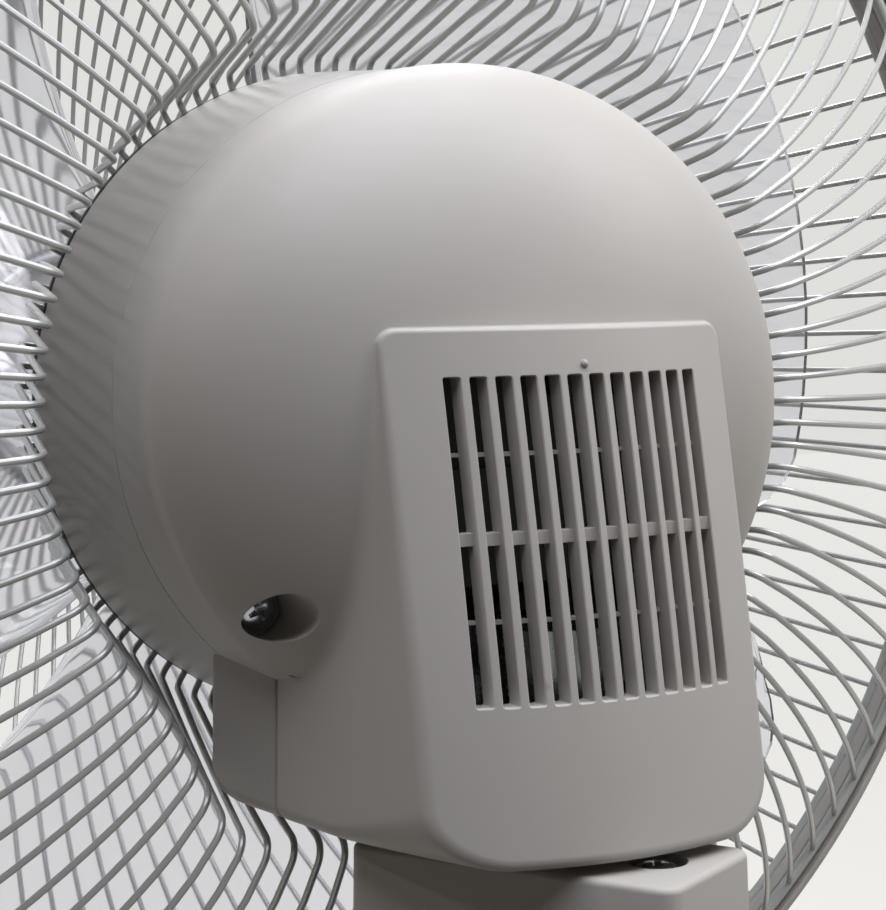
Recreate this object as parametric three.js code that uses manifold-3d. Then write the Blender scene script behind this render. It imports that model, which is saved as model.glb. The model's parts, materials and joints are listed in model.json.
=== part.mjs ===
// Air circulator fan on a height-adjustable stand, in millimetres, +Z up, front of the head towards -Y.
// The origin lies on the floor, under the middle of the fan's bounding box. At rest the head is
// swung to one side, so the stand is turned about the upright swing axis.
import * as THREE from 'three';
import { mergeVertices } from 'three/addons/utils/BufferGeometryUtils.js';
import Module from 'manifold-3d';

const wasm = await Module();
wasm.setup();

// ---------------------------------------------------------------- driving dimensions
const HEAD_HEIGHT = 578;       // blade axis above the floor
const SWING_AT_REST = 31.1;    // degrees between the head's and the stand's forward directions
const PIVOT_BACK = 102.5;      // swing axis behind the plane where the pod meets the rear guard
const FIT_GAP = 0.3;           // between faces that rest on each other
const RUN_GAP = 0.5;           // between pieces that move past each other

// pod: band, dome and hump, seen from the side
const BAND_RADIUS = 70;
const CREASE_RADIUS = 66.7;
const BAND_DEPTH = 41.3;
const DOME_DEPTH = 57.7;
const DOME_FULLNESS = 1.91;    // powers of the dome's outline
const DOME_SQUARENESS = 3.52;
const COVER_WALL = 2.4;
const HUMP_TOP = 15.5;
const HUMP_BOTTOM = -76.2;
const HUMP_CREST = 106.2;      // rear face at the blade axis' height
const HUMP_LEAN = 0.213;       // rearward travel for each millimetre down
const HUMP_SAG = 0.000376;
const HUMP_CROWN = 0.00776;    // how fast the rear face falls away to the sides
const HUMP_HALF_WIDTH = 35.3;  // at the rear face
const HUMP_TAPER = 0.1655;     // widening for each millimetre forward
const HUMP_CORNER_TOP = 3;
const HUMP_CORNER_BOTTOM = 15;
const HUMP_EDGE = 2.2;         // rounding round the rear face
const GRILLE_WALL = 3.5;
const SEAM_DEPTH = 62;         // where the lower front cover meets the rear cover
const LOWER_FRONT = 39;        // front wall of the lower body
const LOWER_NOSE = 18;         // rounding between its front wall and its underside

// grille
const SLOT_COUNT = 12;
const SLOT_PITCH = 4.42;
const SLOT_WIDTH = 2.9;
const SLOT_TOP = 7;
const SLOT_BOTTOM = -49.5;
const SLOT_BRIDGE = 2.4;       // cross rib at mid height
const SLOT_BRIDGE_Z = -21;

// cover screws in their deep recesses
const COVER_SCREW_X = 47.3;
const COVER_SCREW_Z = -36.3;
const RECESS_RADIUS = 4.9;
const RECESS_FLOOR = 62.4;
const RECESS_FLOOR_WALL = 2.4;
const RECESS_WALL = 2.2;
const SCREW_HEAD_RADIUS = 3.9;
const SCREW_HEAD_HEIGHT = 2.6;
const SCREW_SHANK_RADIUS = 1.9;
const SCREW_LENGTH = 14;
const POST_BAR_RADIUS = 3.7;   // posts of the motor bracket that the cover screws go into

// guards
const GUARD_RADIUS = 187;
const GUARD_REAR = -20;        // rim plane of the rear guard
const GUARD_FRONT = -29;       // rim plane of the front guard
const GUARD_NOSE = -190;       // front of the front guard
const GUARD_BELLY = 3.2;       // power of the front guard's fall from nose to rim
const GUARD_CREST_RADIUS = 85;
const GUARD_CREST_DEPTH = 50;
const KEYHOLE_SPREAD = 45;     // degrees to either side of straight down where the crest widens
const KEYHOLE_SIDE = 80.4;     // distance of the slanted sides from the axis
const KEYHOLE_SIDE_TURN = 64.6;
const KEYHOLE_DROP = 91.5;     // crest straight below the axis
const KEYHOLE_BOW = 0.0022;
const GUARD_FALL = 1.54;       // power of the rear guard's fall from crest to rim
const GUARD_ROOT_RADIUS = 74;
const GUARD_ROOT_SWIRL = 4.8;  // degrees from crest to root
const GUARD_PLATE_RADIUS = 68;
const GUARD_PLATE_BORE = 24;
const GUARD_PLATE_THICK = 3;
const GUARD_WIRES = 27;
const WIRE_RADIUS = 1.3;
const RIM_WIRE_RADIUS = 1.8;
const BADGE_RADIUS = 38;
const BADGE_THICK = 5;
const RIM_WALL = 1.8;
const RIM_GAP = 0.3;
const RIM_RIB = 3.2;           // height of the band's inner rib
const RIM_SEGMENTS = 56;       // flats round the rim's wires and band, alike so that they nest
const NUT_RADIUS = 36;
const NUT_THICK = 10;
const NUT_GRIPS = 8;
const NUT_GRIP = [7, 8, 5];    // proud length, height and width of a grip

// blade
const BLADE_COUNT = 3;
const BLADE_RADIUS = 165;
const BLADE_BACK = -24;        // rear edge of the blades
const BLADE_TRAVEL = 68;       // axial depth of a blade at the hub
const BLADE_TIP_SHARE = 0.55;  // of that depth, at the tip
const BLADE_CAMBER = 3;
const BLADE_THICK = 1.8;
const BLADE_ROOT_SPAN = 98;    // degrees that a blade covers at the hub
const BLADE_TIP_SPAN = 104;
const BLADE_SWEEP = 14;        // degrees that the tip leads the root
const BLADE_REST = 10;         // middle of the first blade above the level at rest
const HUB_RADIUS = 36;
const HUB_FRONT = -96;
const HUB_WALL = 3;
const HUB_WEB = 10;            // thickness of the hub's front
const HUB_PROUD = 2;           // hub behind the blades' rear edge
const HUB_BOSS_INSET = 10;
const HUB_BOSS_RADIUS = 10;
const SPINNER_RADIUS = 15;
const SPINNER_DEPTH = 9;
const SHAFT_SHARE = 0.6;       // of the spinner that the shaft fills

// motor
const SHAFT_RADIUS = 4;
const SHAFT_REAR = 62;
const SHAFT_CLEAR = 0.05;      // radial running clearance of the shaft
const BEARING_RADIUS = 11;
const BEARING_WIDTH = 7;
const BRACKET_RADIUS = 64;
const BRACKET_FRONT = 1.2;
const BRACKET_THICK = 4;
const NOSE_RADIUS = 22;
const NOSE_DEPTH = 16;
const CASE_RADIUS = 44;
const CASE_REAR = 50;
const CASE_WALL = 2.2;
const STATOR_RADIUS = 40;
const STATOR_BORE = 24;
const STATOR_DEPTH = 22;
const STATOR_FRONT = 14;
const COIL_COUNT = 9;
const ROTOR_GAP = 0.8;
const BOARD_DEPTH = 84;
const BOARD_THICK = 1.6;
const BOARD_WIDTH = 56;
const BOARD_TOP = 17;
const BOARD_BOTTOM = -32;
const BOARD_POST_RADIUS = 3;
const BOARD_POST_X = 22;
const BOARD_POST_Z = -8;

// swing drive in the lower body
const POST_RADIUS = 6;
const POST_TOP_RADIUS = 4;
const HUB_WASHER_RADIUS = 9.5;
const BRACKET_PLATE_TOP = -69.9;
const BRACKET_PLATE_THICK = 3;
const BRACKET_PLATE_FRONT = 53;
const BRACKET_PLATE_HALF = 24;
const BRACKET_RISER_HALF = 18;
const SWING_HUB_RADIUS = 9.7;
const SWING_HUB_TOP = -64;
const CLIP_THICK = 1;
const GEAR_MODULE = 0.7;
const GEAR_TEETH = 26;
const PINION_TEETH = 12;
const GEAR_THICK = 5;
const GEAR_BACKLASH = 0.3;
const SWING_MOTOR_RADIUS = 14;
const SWING_MOTOR_HEIGHT = 17;
const SWING_EAR_X = 18;        // posts and screws of the swing motor, to either side
const SWING_EAR_THICK = 1.2;
const SWING_POST_RADIUS = 2.6;
const SWING_SHAFT_RADIUS = 1.5;

// neck
const NECK_TOP = -79.3;
const NECK_HEIGHT = 74.7;
const NECK_WIDTH = 32.6;
const NECK_FRONT = 41.4;       // ahead of the swing axis
const NECK_REAR = 26;          // behind the swing axis
const NECK_FLARE = 1.4;        // extra half width at the bottom
const NECK_CORNER = 4;
const NECK_WALL = 2.6;
const NECK_SCREW_BACK = 14.6;
const NECK_SCREW_RADIUS = 4.5;
const NECK_RECESS_RADIUS = 6.1;
const NECK_RECESS_DEPTH = 2.4;
const TILT_DROP = 138;         // tilt axis under the blade axis
const TILT_PIN_RADIUS = 4;
const LUG_THICK = 14;
const LUG_RADIUS = 13;
const LUG_SHANK = 8.5;         // half depth of the lug between its cap and its knuckle

// pole
const POLE_RADIUS = 16;
const POLE_WALL = 1.6;
const POLE_TOP = 300;
const MAST_RADIUS = 11;
const MAST_WALL = 1.3;
const MAST_BOTTOM = 110;
const POLE_CAP_RADIUS = 14;
const POLE_CAP_HEIGHT = 14;
const POLE_CAP_DROP = 172;     // top of the cap under the blade axis
const BUSH_LENGTH = 35;
const COLLAR_RADIUS = 22;
const COLLAR_HEIGHT = 30;
const COLLAR_GRIPS = 8;

// base
const BASE_RADIUS = 150;
const BASE_SHIFT = 45;         // base centre ahead of the pole
const BASE_TOP = 32;
const BASE_EDGE = 26;          // width of the rounded shoulder
const BASE_WALL = 2.6;
const FOOT_HEIGHT = 3;
const FOOT_RADIUS = 12;
const FOOT_INSET = 22;         // foot centres inside the base's edge
const FOOT_COUNT = 4;
const PLATE_THICK = 2;
const WEIGHT_INSET = 18;       // inside the base's edge
const WEIGHT_THICK = 9;
const PANEL_WIDTH = 104;
const PANEL_DEPTH = 34;
const PANEL_AHEAD = 118;       // panel centre ahead of the pole
const PANEL_THICK = 2;
const PANEL_PROUD = 0.4;
const PANEL_LIP = 3;           // ledge under the panel's edge
const SWITCH_ROOM = 8;         // under the panel
const SWITCH_LEG_X = 40;
const SWITCH_HALF = 3;
const BOARD_HALF_DEPTH = 10;
const BUTTON_RADIUS = 6;
const BUTTON_PITCH = 20;
const BUTTON_PROUD = 1.4;
const BUTTON_TRAVEL = 1;
const BUTTON_FLANGE = 1.6;
const INLET_WIDTH = 13;
const INLET_HEIGHT = 10;
const INLET_DEPTH = 16;
const INLET_SOCKET_RADIUS = 3.4;
const INLET_PIN_RADIUS = 0.9;
const INLET_LIFT = 0.6;        // above the base weight

// ---------------------------------------------------------------- derived places
const RIM_OUTER = GUARD_RADIUS + RIM_WIRE_RADIUS + RIM_GAP + RIM_WALL;
const BADGE_RING_RADIUS = BADGE_RADIUS - 3;
const BADGE_RING_WIRE = WIRE_RADIUS * 1.3;
const BASE_CENTRE_Y = PIVOT_BACK - BASE_SHIFT * Math.cos(THREE.MathUtils.degToRad(SWING_AT_REST));
const FRONT_MOST = Math.min(GUARD_NOSE - BADGE_THICK, BASE_CENTRE_Y - BASE_RADIUS);
const REAR_MOST = BASE_CENTRE_Y + BASE_RADIUS;
const HEAD_Y = -(FRONT_MOST + REAR_MOST) / 2;
const GEAR_CENTRES = GEAR_MODULE * (GEAR_TEETH + PINION_TEETH) / 2;
const PINION_Y = PIVOT_BACK - GEAR_CENTRES;
const TILT_Z = HEAD_HEIGHT - TILT_DROP;
const POLE_CAP_TOP = HEAD_HEIGHT - POLE_CAP_DROP;
const POLE_CAP_BOTTOM = POLE_CAP_TOP - POLE_CAP_HEIGHT;
const NECK_TOP_Z = HEAD_HEIGHT + NECK_TOP;
const NECK_BOTTOM_Z = NECK_TOP_Z - NECK_HEIGHT;
const PLATE_TOP = FOOT_HEIGHT + PLATE_THICK;
const WEIGHT_BOTTOM = PLATE_TOP + FIT_GAP;
const WEIGHT_TOP = WEIGHT_BOTTOM + WEIGHT_THICK;
const PANEL_TOP = BASE_TOP + PANEL_PROUD;
const PANEL_BOTTOM = PANEL_TOP - PANEL_THICK;
const BEARING_FRONT = -NOSE_DEPTH + BRACKET_FRONT + FIT_GAP;
const WASHER_BOTTOM = NECK_TOP + FIT_GAP;
const WASHER_TOP = WASHER_BOTTOM + 1.6;
const INLET_BOTTOM = WEIGHT_TOP + INLET_LIFT;
const CLIP_BOTTOM = SWING_HUB_TOP + FIT_GAP;
const GEAR_BOTTOM = CLIP_BOTTOM + CLIP_THICK + 0.4;
const GEAR_TOP = GEAR_BOTTOM + GEAR_THICK;
const SWING_MOTOR_BOTTOM = GEAR_TOP + 1.4;

// ---------------------------------------------------------------- materials
const material = (color, roughness, metalness = 0) =>
  new THREE.MeshStandardMaterial({ color, roughness, metalness });
const greyPlastic = material(0xa8a39d, 0.5);
const darkPlastic = material(0x3a3836, 0.5);
const wireGrey = material(0xb2b3b0, 0.35, 0.2);
const bladeGrey = material(0xa9a9ae, 0.3);
const steel = material(0xb9bcc0, 0.3, 1);
const castIron = material(0x4b4b4d, 0.7, 0.6);
const copper = material(0xa8643a, 0.4, 0.8);
const nylon = material(0xe6e2d8, 0.5);
const boardGreen = material(0x2c5a3a, 0.6);
const rubber = material(0x222222, 0.9);

// ---------------------------------------------------------------- solid helpers
const rad = THREE.MathUtils.degToRad;

/** Merges shared corners, drops collapsed triangles and turns every face outwards. */
function closed(geometry) {
  const bare = geometry.clone();
  bare.deleteAttribute('normal');
  bare.deleteAttribute('uv');
  const merged = mergeVertices(bare, 1e-4);
  const position = merged.attributes.position;
  const corner = (i) => new THREE.Vector3().fromBufferAttribute(position, i);
  const index = [];
  let volume = 0;
  for (let i = 0; i < merged.index.count; i += 3) {
    const [a, b, c] = [0, 1, 2].map((k) => merged.index.getX(i + k));
    if (a === b || b === c || c === a) continue;
    index.push(a, b, c);
    volume += corner(a).dot(corner(b).cross(corner(c)));
  }
  if (volume < 0) index.reverse();
  merged.setIndex(index);
  return merged;
}

function solid(geometry) {
  const mesh = closed(geometry);
  return new wasm.Manifold(new wasm.Mesh({
    numProp: 3,
    vertProperties: new Float32Array(mesh.attributes.position.array),
    triVerts: new Uint32Array(mesh.index.array),
  }));
}

function fromSolid(body) {
  const mesh = body.getMesh();
  const geometry = new THREE.BufferGeometry();
  geometry.setAttribute('position', new THREE.BufferAttribute(new Float32Array(mesh.vertProperties), 3));
  geometry.setIndex(new THREE.BufferAttribute(new Uint32Array(mesh.triVerts), 1));
  return geometry;
}

const join = (first, ...others) => others.reduce((sum, other) => sum.add(other), first);
const cut = (first, ...others) => others.reduce((rest, other) => rest.subtract(other), first);

/** Block between two opposite corners. */
function block(low, high) {
  const size = high.map((value, i) => value - low[i]);
  const middle = high.map((value, i) => (value + low[i]) / 2);
  return solid(new THREE.BoxGeometry(...size).translate(...middle));
}

/** Turned solid about the Y axis ('y') or the Z axis ('z'); profile points are [radius, height]. */
function turned(profile, axis, segments = 28) {
  const geometry = new THREE.LatheGeometry(profile.map(([r, h]) => new THREE.Vector2(r, h)), segments);
  return solid(axis === 'z' ? geometry.rotateX(Math.PI / 2) : geometry);
}

/** Straight round bar along 'x', 'y' or 'z' from one height to another, centred on the other two. */
function bar(axis, radius, from, to, [u, v] = [0, 0], segments = 16) {
  const geometry = new THREE.CylinderGeometry(radius, radius, to - from, segments);
  const middle = (from + to) / 2;
  if (axis === 'x') return solid(geometry.rotateZ(Math.PI / 2).translate(middle, u, v));
  if (axis === 'y') return solid(geometry.translate(u, middle, v));
  return solid(geometry.rotateX(Math.PI / 2).translate(u, v, middle));
}

/** Round tube or washer; a bar with a bore. */
function sleeve(axis, radius, bore, from, to, centre = [0, 0], segments = 20) {
  return cut(bar(axis, radius, from, to, centre, segments),
    bar(axis, bore, from - 1, to + 1, centre, segments));
}

/** Prism from a flat outline [[x, y]...], standing on z = from. */
function prism(outline, from, to) {
  const shape = new THREE.Shape(outline.map(([x, y]) => new THREE.Vector2(x, y)));
  const body = new THREE.ExtrudeGeometry(shape, { depth: to - from, bevelEnabled: false });
  return solid(body.translate(0, 0, from));
}

/** Closed body through equal rings of points, each ring with as many points, capped at both ends. */
function lofted(rings, firstCap, lastCap) {
  const count = rings[0].length;
  const points = [...rings.flat(), firstCap, lastCap];
  const index = [];
  for (let k = 0; k + 1 < rings.length; k++) {
    for (let i = 0; i < count; i++) {
      const j = (i + 1) % count;
      const [a, b, c, d] = [k * count + i, k * count + j, (k + 1) * count + i, (k + 1) * count + j];
      index.push(a, b, d, a, d, c);
    }
  }
  const last = (rings.length - 1) * count;
  for (let i = 0; i < count; i++) {
    const j = (i + 1) % count;
    index.push(rings.length * count, j, i);
    index.push(rings.length * count + 1, last + i, last + j);
  }
  const geometry = new THREE.BufferGeometry();
  geometry.setAttribute('position', new THREE.Float32BufferAttribute(points.flat(), 3));
  geometry.setIndex(index);
  return solid(geometry);
}

/** Wire of a few flat sides that follows points; head frame, axis of the guard along Y. */
function wire(points, radius, sides = 3) {
  const path = points.map((p) => new THREE.Vector3(...p));
  const rings = path.map((point, i) => {
    const ahead = path[Math.min(i + 1, path.length - 1)];
    const behind = path[Math.max(i - 1, 0)];
    const along = ahead.clone().sub(behind).normalize();
    const across = new THREE.Vector3(-point.z, 0, point.x).normalize();
    across.addScaledVector(along, -across.dot(along)).normalize();
    const up = new THREE.Vector3().crossVectors(across, along);
    return Array.from({ length: sides }, (_, k) => {
      const turn = (2 * Math.PI * (k + 0.5)) / sides;
      return point.clone().addScaledVector(across, radius * Math.cos(turn))
        .addScaledVector(up, radius * Math.sin(turn)).toArray();
    });
  });
  return lofted(rings, points[0], points[points.length - 1]);
}

/** Ring of round wire about the Y axis. */
function ring(radius, y, wireRadius, around = RIM_SEGMENTS) {
  const hoop = new THREE.TorusGeometry(radius, wireRadius, 4, around);
  return solid(hoop.rotateX(Math.PI / 2).translate(0, y, 0));
}

/** Closed thin sheet between two equal grids of points, each of rows by columns. */
function sheet(top, bottom) {
  const [rows, columns] = [top.length, top[0].length];
  const at = (side, i, j) => (side * rows + i) * columns + j;
  const index = [];
  const quad = (a, b, c, d) => index.push(a, b, c, a, c, d);
  for (let i = 0; i + 1 < rows; i++) {
    for (let j = 0; j + 1 < columns; j++) {
      quad(at(0, i, j), at(0, i, j + 1), at(0, i + 1, j + 1), at(0, i + 1, j));
      quad(at(1, i, j), at(1, i + 1, j), at(1, i + 1, j + 1), at(1, i, j + 1));
    }
  }
  const [last, end] = [rows - 1, columns - 1];
  for (let j = 0; j < end; j++) {
    quad(at(0, 0, j + 1), at(0, 0, j), at(1, 0, j), at(1, 0, j + 1));
    quad(at(0, last, j), at(0, last, j + 1), at(1, last, j + 1), at(1, last, j));
  }
  for (let i = 0; i < last; i++) {
    quad(at(0, i, 0), at(0, i + 1, 0), at(1, i + 1, 0), at(1, i, 0));
    quad(at(0, i + 1, end), at(0, i, end), at(1, i, end), at(1, i + 1, end));
  }
  const geometry = new THREE.BufferGeometry();
  const points = [...top.flat(), ...bottom.flat()];
  geometry.setAttribute('position', new THREE.Float32BufferAttribute(points.flat(), 3));
  geometry.setIndex(index);
  return solid(geometry);
}

function node(name, body, finish) {
  const mesh = new THREE.Mesh(fromSolid(body), finish);
  mesh.name = name;
  return mesh;
}

// ---------------------------------------------------------------- pod shapes
/** Dome height over the crease plane at a distance from its axis. */
const domeRise = (share) => DOME_DEPTH * (1 - share ** DOME_FULLNESS) ** (1 / DOME_SQUARENESS);

/** Band and dome as one turned solid, drawn in or out by an offset, from a front plane. */
function podBody(offset, front, segments = 40) {
  const steps = 6;
  const slope = (CREASE_RADIUS - BAND_RADIUS) / BAND_DEPTH;
  const profile = [[0, front], [BAND_RADIUS + slope * front + offset, front]];
  for (let i = 0; i <= steps; i++) {
    const share = Math.cos((i / steps) * (Math.PI / 2));
    const radius = i === steps ? 0 : (CREASE_RADIUS + offset) * share;
    profile.push([radius, BAND_DEPTH + domeRise(share) * (DOME_DEPTH + offset) / DOME_DEPTH]);
  }
  return turned(profile, 'y', segments);
}

/** Rear face of the hump. */
const humpFace = (x, z) => HUMP_CREST - HUMP_LEAN * z - HUMP_SAG * z * z - HUMP_CROWN * x * x;

/** Half width of the hump and lower body at a depth and height. */
const humpHalfWidth = (y, z) => HUMP_HALF_WIDTH + HUMP_TAPER * (humpFace(HUMP_HALF_WIDTH, z) - y);

/** Rounded outline of the hump in the XZ plane, as [share of half width side, x inset, z]. */
function humpOutline(inset, drawIn) {
  const bottom = HUMP_BOTTOM + inset + drawIn;
  const top = HUMP_TOP - inset - drawIn;
  const corners = [
    [1, bottom, Math.max(HUMP_CORNER_BOTTOM - inset, 1), -Math.PI / 2, 5],
    [1, top, Math.max(HUMP_CORNER_TOP - inset, 0.6), 0, 2],
    [-1, top, Math.max(HUMP_CORNER_TOP - inset, 0.6), Math.PI / 2, 2],
    [-1, bottom, Math.max(HUMP_CORNER_BOTTOM - inset, 1), Math.PI, 5],
  ];
  const steps = (count) => Array.from({ length: count + 1 }, (_, i) => i / count);
  return corners.flatMap(([side, edge, radius, start, count]) => steps(count).map((share) => {
    const angle = start + share * (Math.PI / 2);
    const centre = edge + (edge === bottom ? radius : -radius);
    const back = inset + drawIn + radius * (1 - Math.abs(Math.cos(angle)));
    return { side, back, z: centre + radius * Math.sin(angle) };
  }));
}

/** Hump and lower body as one solid from a front plane to the rear face, drawn in by an inset. */
function humpBody(front, inset, faceInset) {
  const at = (outline, depth) => outline.map(({ side, back, z }) => {
    let x = side * (HUMP_HALF_WIDTH - back);
    let y = depth(x, z);
    for (let pass = 0; pass < 4; pass++) {
      x = side * (humpHalfWidth(y, z) - back);
      y = depth(x, z);
    }
    return [x, y, z];
  });
  const edge = inset > 0 ? 0.5 : HUMP_EDGE;
  const face = (x, z) => humpFace(x, z) - faceInset;
  const middle = (HUMP_TOP + HUMP_BOTTOM) / 2;
  const shrunk = (ringPoints, share) => ringPoints.map(([x, , z]) => {
    const [sx, sz] = [x * share, middle + (z - middle) * share];
    return [sx, face(sx, sz), sz];
  });
  const rim = at(humpOutline(inset, edge), face);
  const rings = [
    at(humpOutline(inset, 0), () => front),
    at(humpOutline(inset, 0), (x, z) => face(x, z) - edge),
    at(humpOutline(inset, edge * 0.3), (x, z) => face(x, z) - edge * 0.3),
    rim, shrunk(rim, 0.75), shrunk(rim, 0.4),
  ];
  return lofted(rings, [0, front, middle], [0, face(0, middle), middle]);
}

function grilleSlots() {
  const slots = [];
  for (let i = 0; i < SLOT_COUNT; i++) {
    const x = (i - (SLOT_COUNT - 1) / 2) * SLOT_PITCH;
    const spans = [[SLOT_BOTTOM, SLOT_BRIDGE_Z - SLOT_BRIDGE / 2],
      [SLOT_BRIDGE_Z + SLOT_BRIDGE / 2, SLOT_TOP]];
    for (const [low, high] of spans) {
      slots.push(block([x - SLOT_WIDTH / 2, humpFace(x, SLOT_TOP) - 2 * GRILLE_WALL, low],
        [x + SLOT_WIDTH / 2, HUMP_CREST + 3 * GRILLE_WALL, high]));
    }
  }
  return slots;
}

const bothSides = [-1, 1];

/** Two bars on the cover screws' axes. */
const screwBars = (radius, from, to, segments = 16) => bothSides.map((side) =>
  bar('y', radius, from, to, [side * COVER_SCREW_X, COVER_SCREW_Z], segments));

function rearCover() {
  const podOuter = podBody(0, FIT_GAP);
  const podInner = podBody(-COVER_WALL, -1, 24);
  const humpInner = humpBody(SEAM_DEPTH - 1, COVER_WALL, GRILLE_WALL);
  const bosses = screwBars(RECESS_RADIUS + RECESS_WALL, RECESS_FLOOR - RECESS_FLOOR_WALL, HUMP_CREST)
    .map((boss) => boss.intersect(podOuter));
  const recesses = screwBars(RECESS_RADIUS, RECESS_FLOOR, HUMP_CREST);
  const holes = screwBars(SCREW_SHANK_RADIUS + FIT_GAP, BAND_DEPTH, HUMP_CREST);
  const shell = cut(join(podOuter, humpBody(SEAM_DEPTH, 0, 0)), podInner, humpInner);
  const windowHalf = BRACKET_PLATE_HALF + 2;
  const armWindow = block([-windowHalf, LOWER_FRONT + 4, -BAND_RADIUS - 1],
    [windowHalf, SEAM_DEPTH + 1, -SWING_MOTOR_RADIUS * 3]);
  const pivotHole = bar('z', SWING_HUB_RADIUS + 2, HUMP_BOTTOM - 1, HUMP_BOTTOM + 2 * COVER_WALL,
    [0, PIVOT_BACK], 20);
  const open = cut(shell, armWindow, pivotHole, ...grilleSlots());
  return cut(join(open, ...bosses), ...recesses, ...holes);
}

/** Waste outside the rounding between a front wall and an underside. */
function noseWaste(front, bottom, radius) {
  return cut(block([-100, front - 5, bottom - 5], [100, front + radius, bottom + radius]),
    bar('x', radius, -110, 110, [front + radius, bottom + radius], 32));
}

function lowerFrontCover() {
  const outer = cut(humpBody(LOWER_FRONT, 0, 0), noseWaste(LOWER_FRONT, HUMP_BOTTOM, LOWER_NOSE));
  const inner = cut(humpBody(LOWER_FRONT + COVER_WALL, COVER_WALL, GRILLE_WALL),
    noseWaste(LOWER_FRONT + COVER_WALL, HUMP_BOTTOM + COVER_WALL, LOWER_NOSE - COVER_WALL));
  const rearHalf = block([-100, SEAM_DEPTH - FIT_GAP, -100], [100, 200, 100]);
  return cut(outer, inner, rearHalf, podBody(FIT_GAP + 0.1, -1));
}

/** Cross-recessed pan-head screw along an axis direction; head underside at `seat`, shank the other way. */
function crossScrew(headRadius, headHeight, shankRadius, length) {
  const profile = [[0, -length], [shankRadius, -length], [shankRadius, 0], [headRadius, 0],
    [headRadius, headHeight * 0.55], [headRadius * 0.7, headHeight * 0.95], [0, headHeight]];
  const wing = headRadius * 0.55;
  const slit = headRadius * 0.13;
  const floor = headHeight * 0.35;
  return cut(turned(profile, 'z', 12), block([-wing, -slit, floor], [wing, slit, headHeight + 1]),
    block([-slit, -wing, floor], [slit, wing, headHeight + 1]));
}

// ---------------------------------------------------------------- motor
function motorBracket() {
  const back = BRACKET_FRONT + BRACKET_THICK;
  const nose = BRACKET_FRONT - NOSE_DEPTH;
  const [shaftBore, seat] = [SHAFT_RADIUS + RUN_GAP, BEARING_RADIUS + FIT_GAP];
  const body = turned([[shaftBore, nose], [NOSE_RADIUS, nose], [NOSE_RADIUS, BRACKET_FRONT],
    [BRACKET_RADIUS, BRACKET_FRONT], [BRACKET_RADIUS, back], [seat, back], [seat, nose + 2],
    [shaftBore, nose + 2], [shaftBore, nose]], 'y');
  const podInside = podBody(-COVER_WALL - FIT_GAP, 0, 24);
  const posts = screwBars(POST_BAR_RADIUS, back - 1, RECESS_FLOOR - RECESS_FLOOR_WALL - FIT_GAP)
    .map((post) => post.intersect(podInside));
  const bores = screwBars(SCREW_SHANK_RADIUS + FIT_GAP, BAND_DEPTH, HUMP_CREST);
  return cut(join(body, ...posts), ...bores);
}

function motorCase() {
  const front = BRACKET_FRONT + BRACKET_THICK + FIT_GAP;
  const shell = turned([[CASE_RADIUS - CASE_WALL, front], [CASE_RADIUS, front], [CASE_RADIUS, CASE_REAR - 4],
    [CASE_RADIUS - 4, CASE_REAR], [BEARING_RADIUS + 3, CASE_REAR], [BEARING_RADIUS + 3, CASE_REAR + 6],
    [SHAFT_RADIUS + RUN_GAP, CASE_REAR + 6], [SHAFT_RADIUS + RUN_GAP, CASE_REAR + 4],
    [BEARING_RADIUS + FIT_GAP, CASE_REAR + 4], [BEARING_RADIUS + FIT_GAP, CASE_REAR - CASE_WALL],
    [CASE_RADIUS - 5, CASE_REAR - CASE_WALL], [CASE_RADIUS - CASE_WALL, CASE_REAR - 6],
    [CASE_RADIUS - CASE_WALL, front]], 'y');
  const posts = bothSides.map((side) => bar('y', BOARD_POST_RADIUS, CASE_REAR - 1, BOARD_DEPTH - FIT_GAP,
    [side * BOARD_POST_X, BOARD_POST_Z], 12));
  return join(shell, ...posts);
}

function motorStator() {
  const rear = STATOR_FRONT + STATOR_DEPTH;
  const yoke = sleeve('y', STATOR_RADIUS, STATOR_RADIUS - 6, STATOR_FRONT, rear, [0, 0], 24);
  const coils = Array.from({ length: COIL_COUNT }, (_, i) => {
    const coil = new THREE.BoxGeometry(STATOR_RADIUS - 5 - STATOR_BORE, STATOR_DEPTH + 5, 13);
    coil.translate((STATOR_RADIUS - 5 + STATOR_BORE) / 2, STATOR_FRONT + STATOR_DEPTH / 2, 0);
    return solid(coil.rotateY((i / COIL_COUNT) * 2 * Math.PI));
  });
  return join(yoke, ...coils);
}

function motorRotor() {
  const [front, rear] = [STATOR_FRONT - 2, STATOR_FRONT + STATOR_DEPTH + 2];
  return sleeve('y', STATOR_BORE - ROTOR_GAP, SHAFT_RADIUS + SHAFT_CLEAR, front, rear, [0, 0], 20);
}

function motorShaft() {
  const front = HUB_FRONT - SPINNER_DEPTH * SHAFT_SHARE;
  const shaft = bar('y', SHAFT_RADIUS, front, SHAFT_REAR - 4);
  const flat = block([-SHAFT_RADIUS, front - 1, SHAFT_RADIUS * 0.7],
    [SHAFT_RADIUS, HUB_FRONT + 28, SHAFT_RADIUS + 1]);
  return cut(shaft, flat);
}

const bearing = (front) =>
  sleeve('y', BEARING_RADIUS, SHAFT_RADIUS + SHAFT_CLEAR, front, front + BEARING_WIDTH);

/** Board with two capacitors and two flat chips on its rear side. */
function controlBoard() {
  const top = BOARD_DEPTH + BOARD_THICK;
  const root = top - 0.5;
  const board = block([-BOARD_WIDTH / 2, BOARD_DEPTH, BOARD_BOTTOM], [BOARD_WIDTH / 2, top, BOARD_TOP]);
  const cans = [-16, -5].map((x) => bar('y', 4, root, top + 7, [x, 6], 10));
  const chips = [[6, 20, -22, -10, 5], [-20, -8, -26, -16, 3]].map(([left, right, low, high, rise]) =>
    block([left, root, low], [right, top + rise, high]));
  return join(board, ...cans, ...chips);
}

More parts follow.
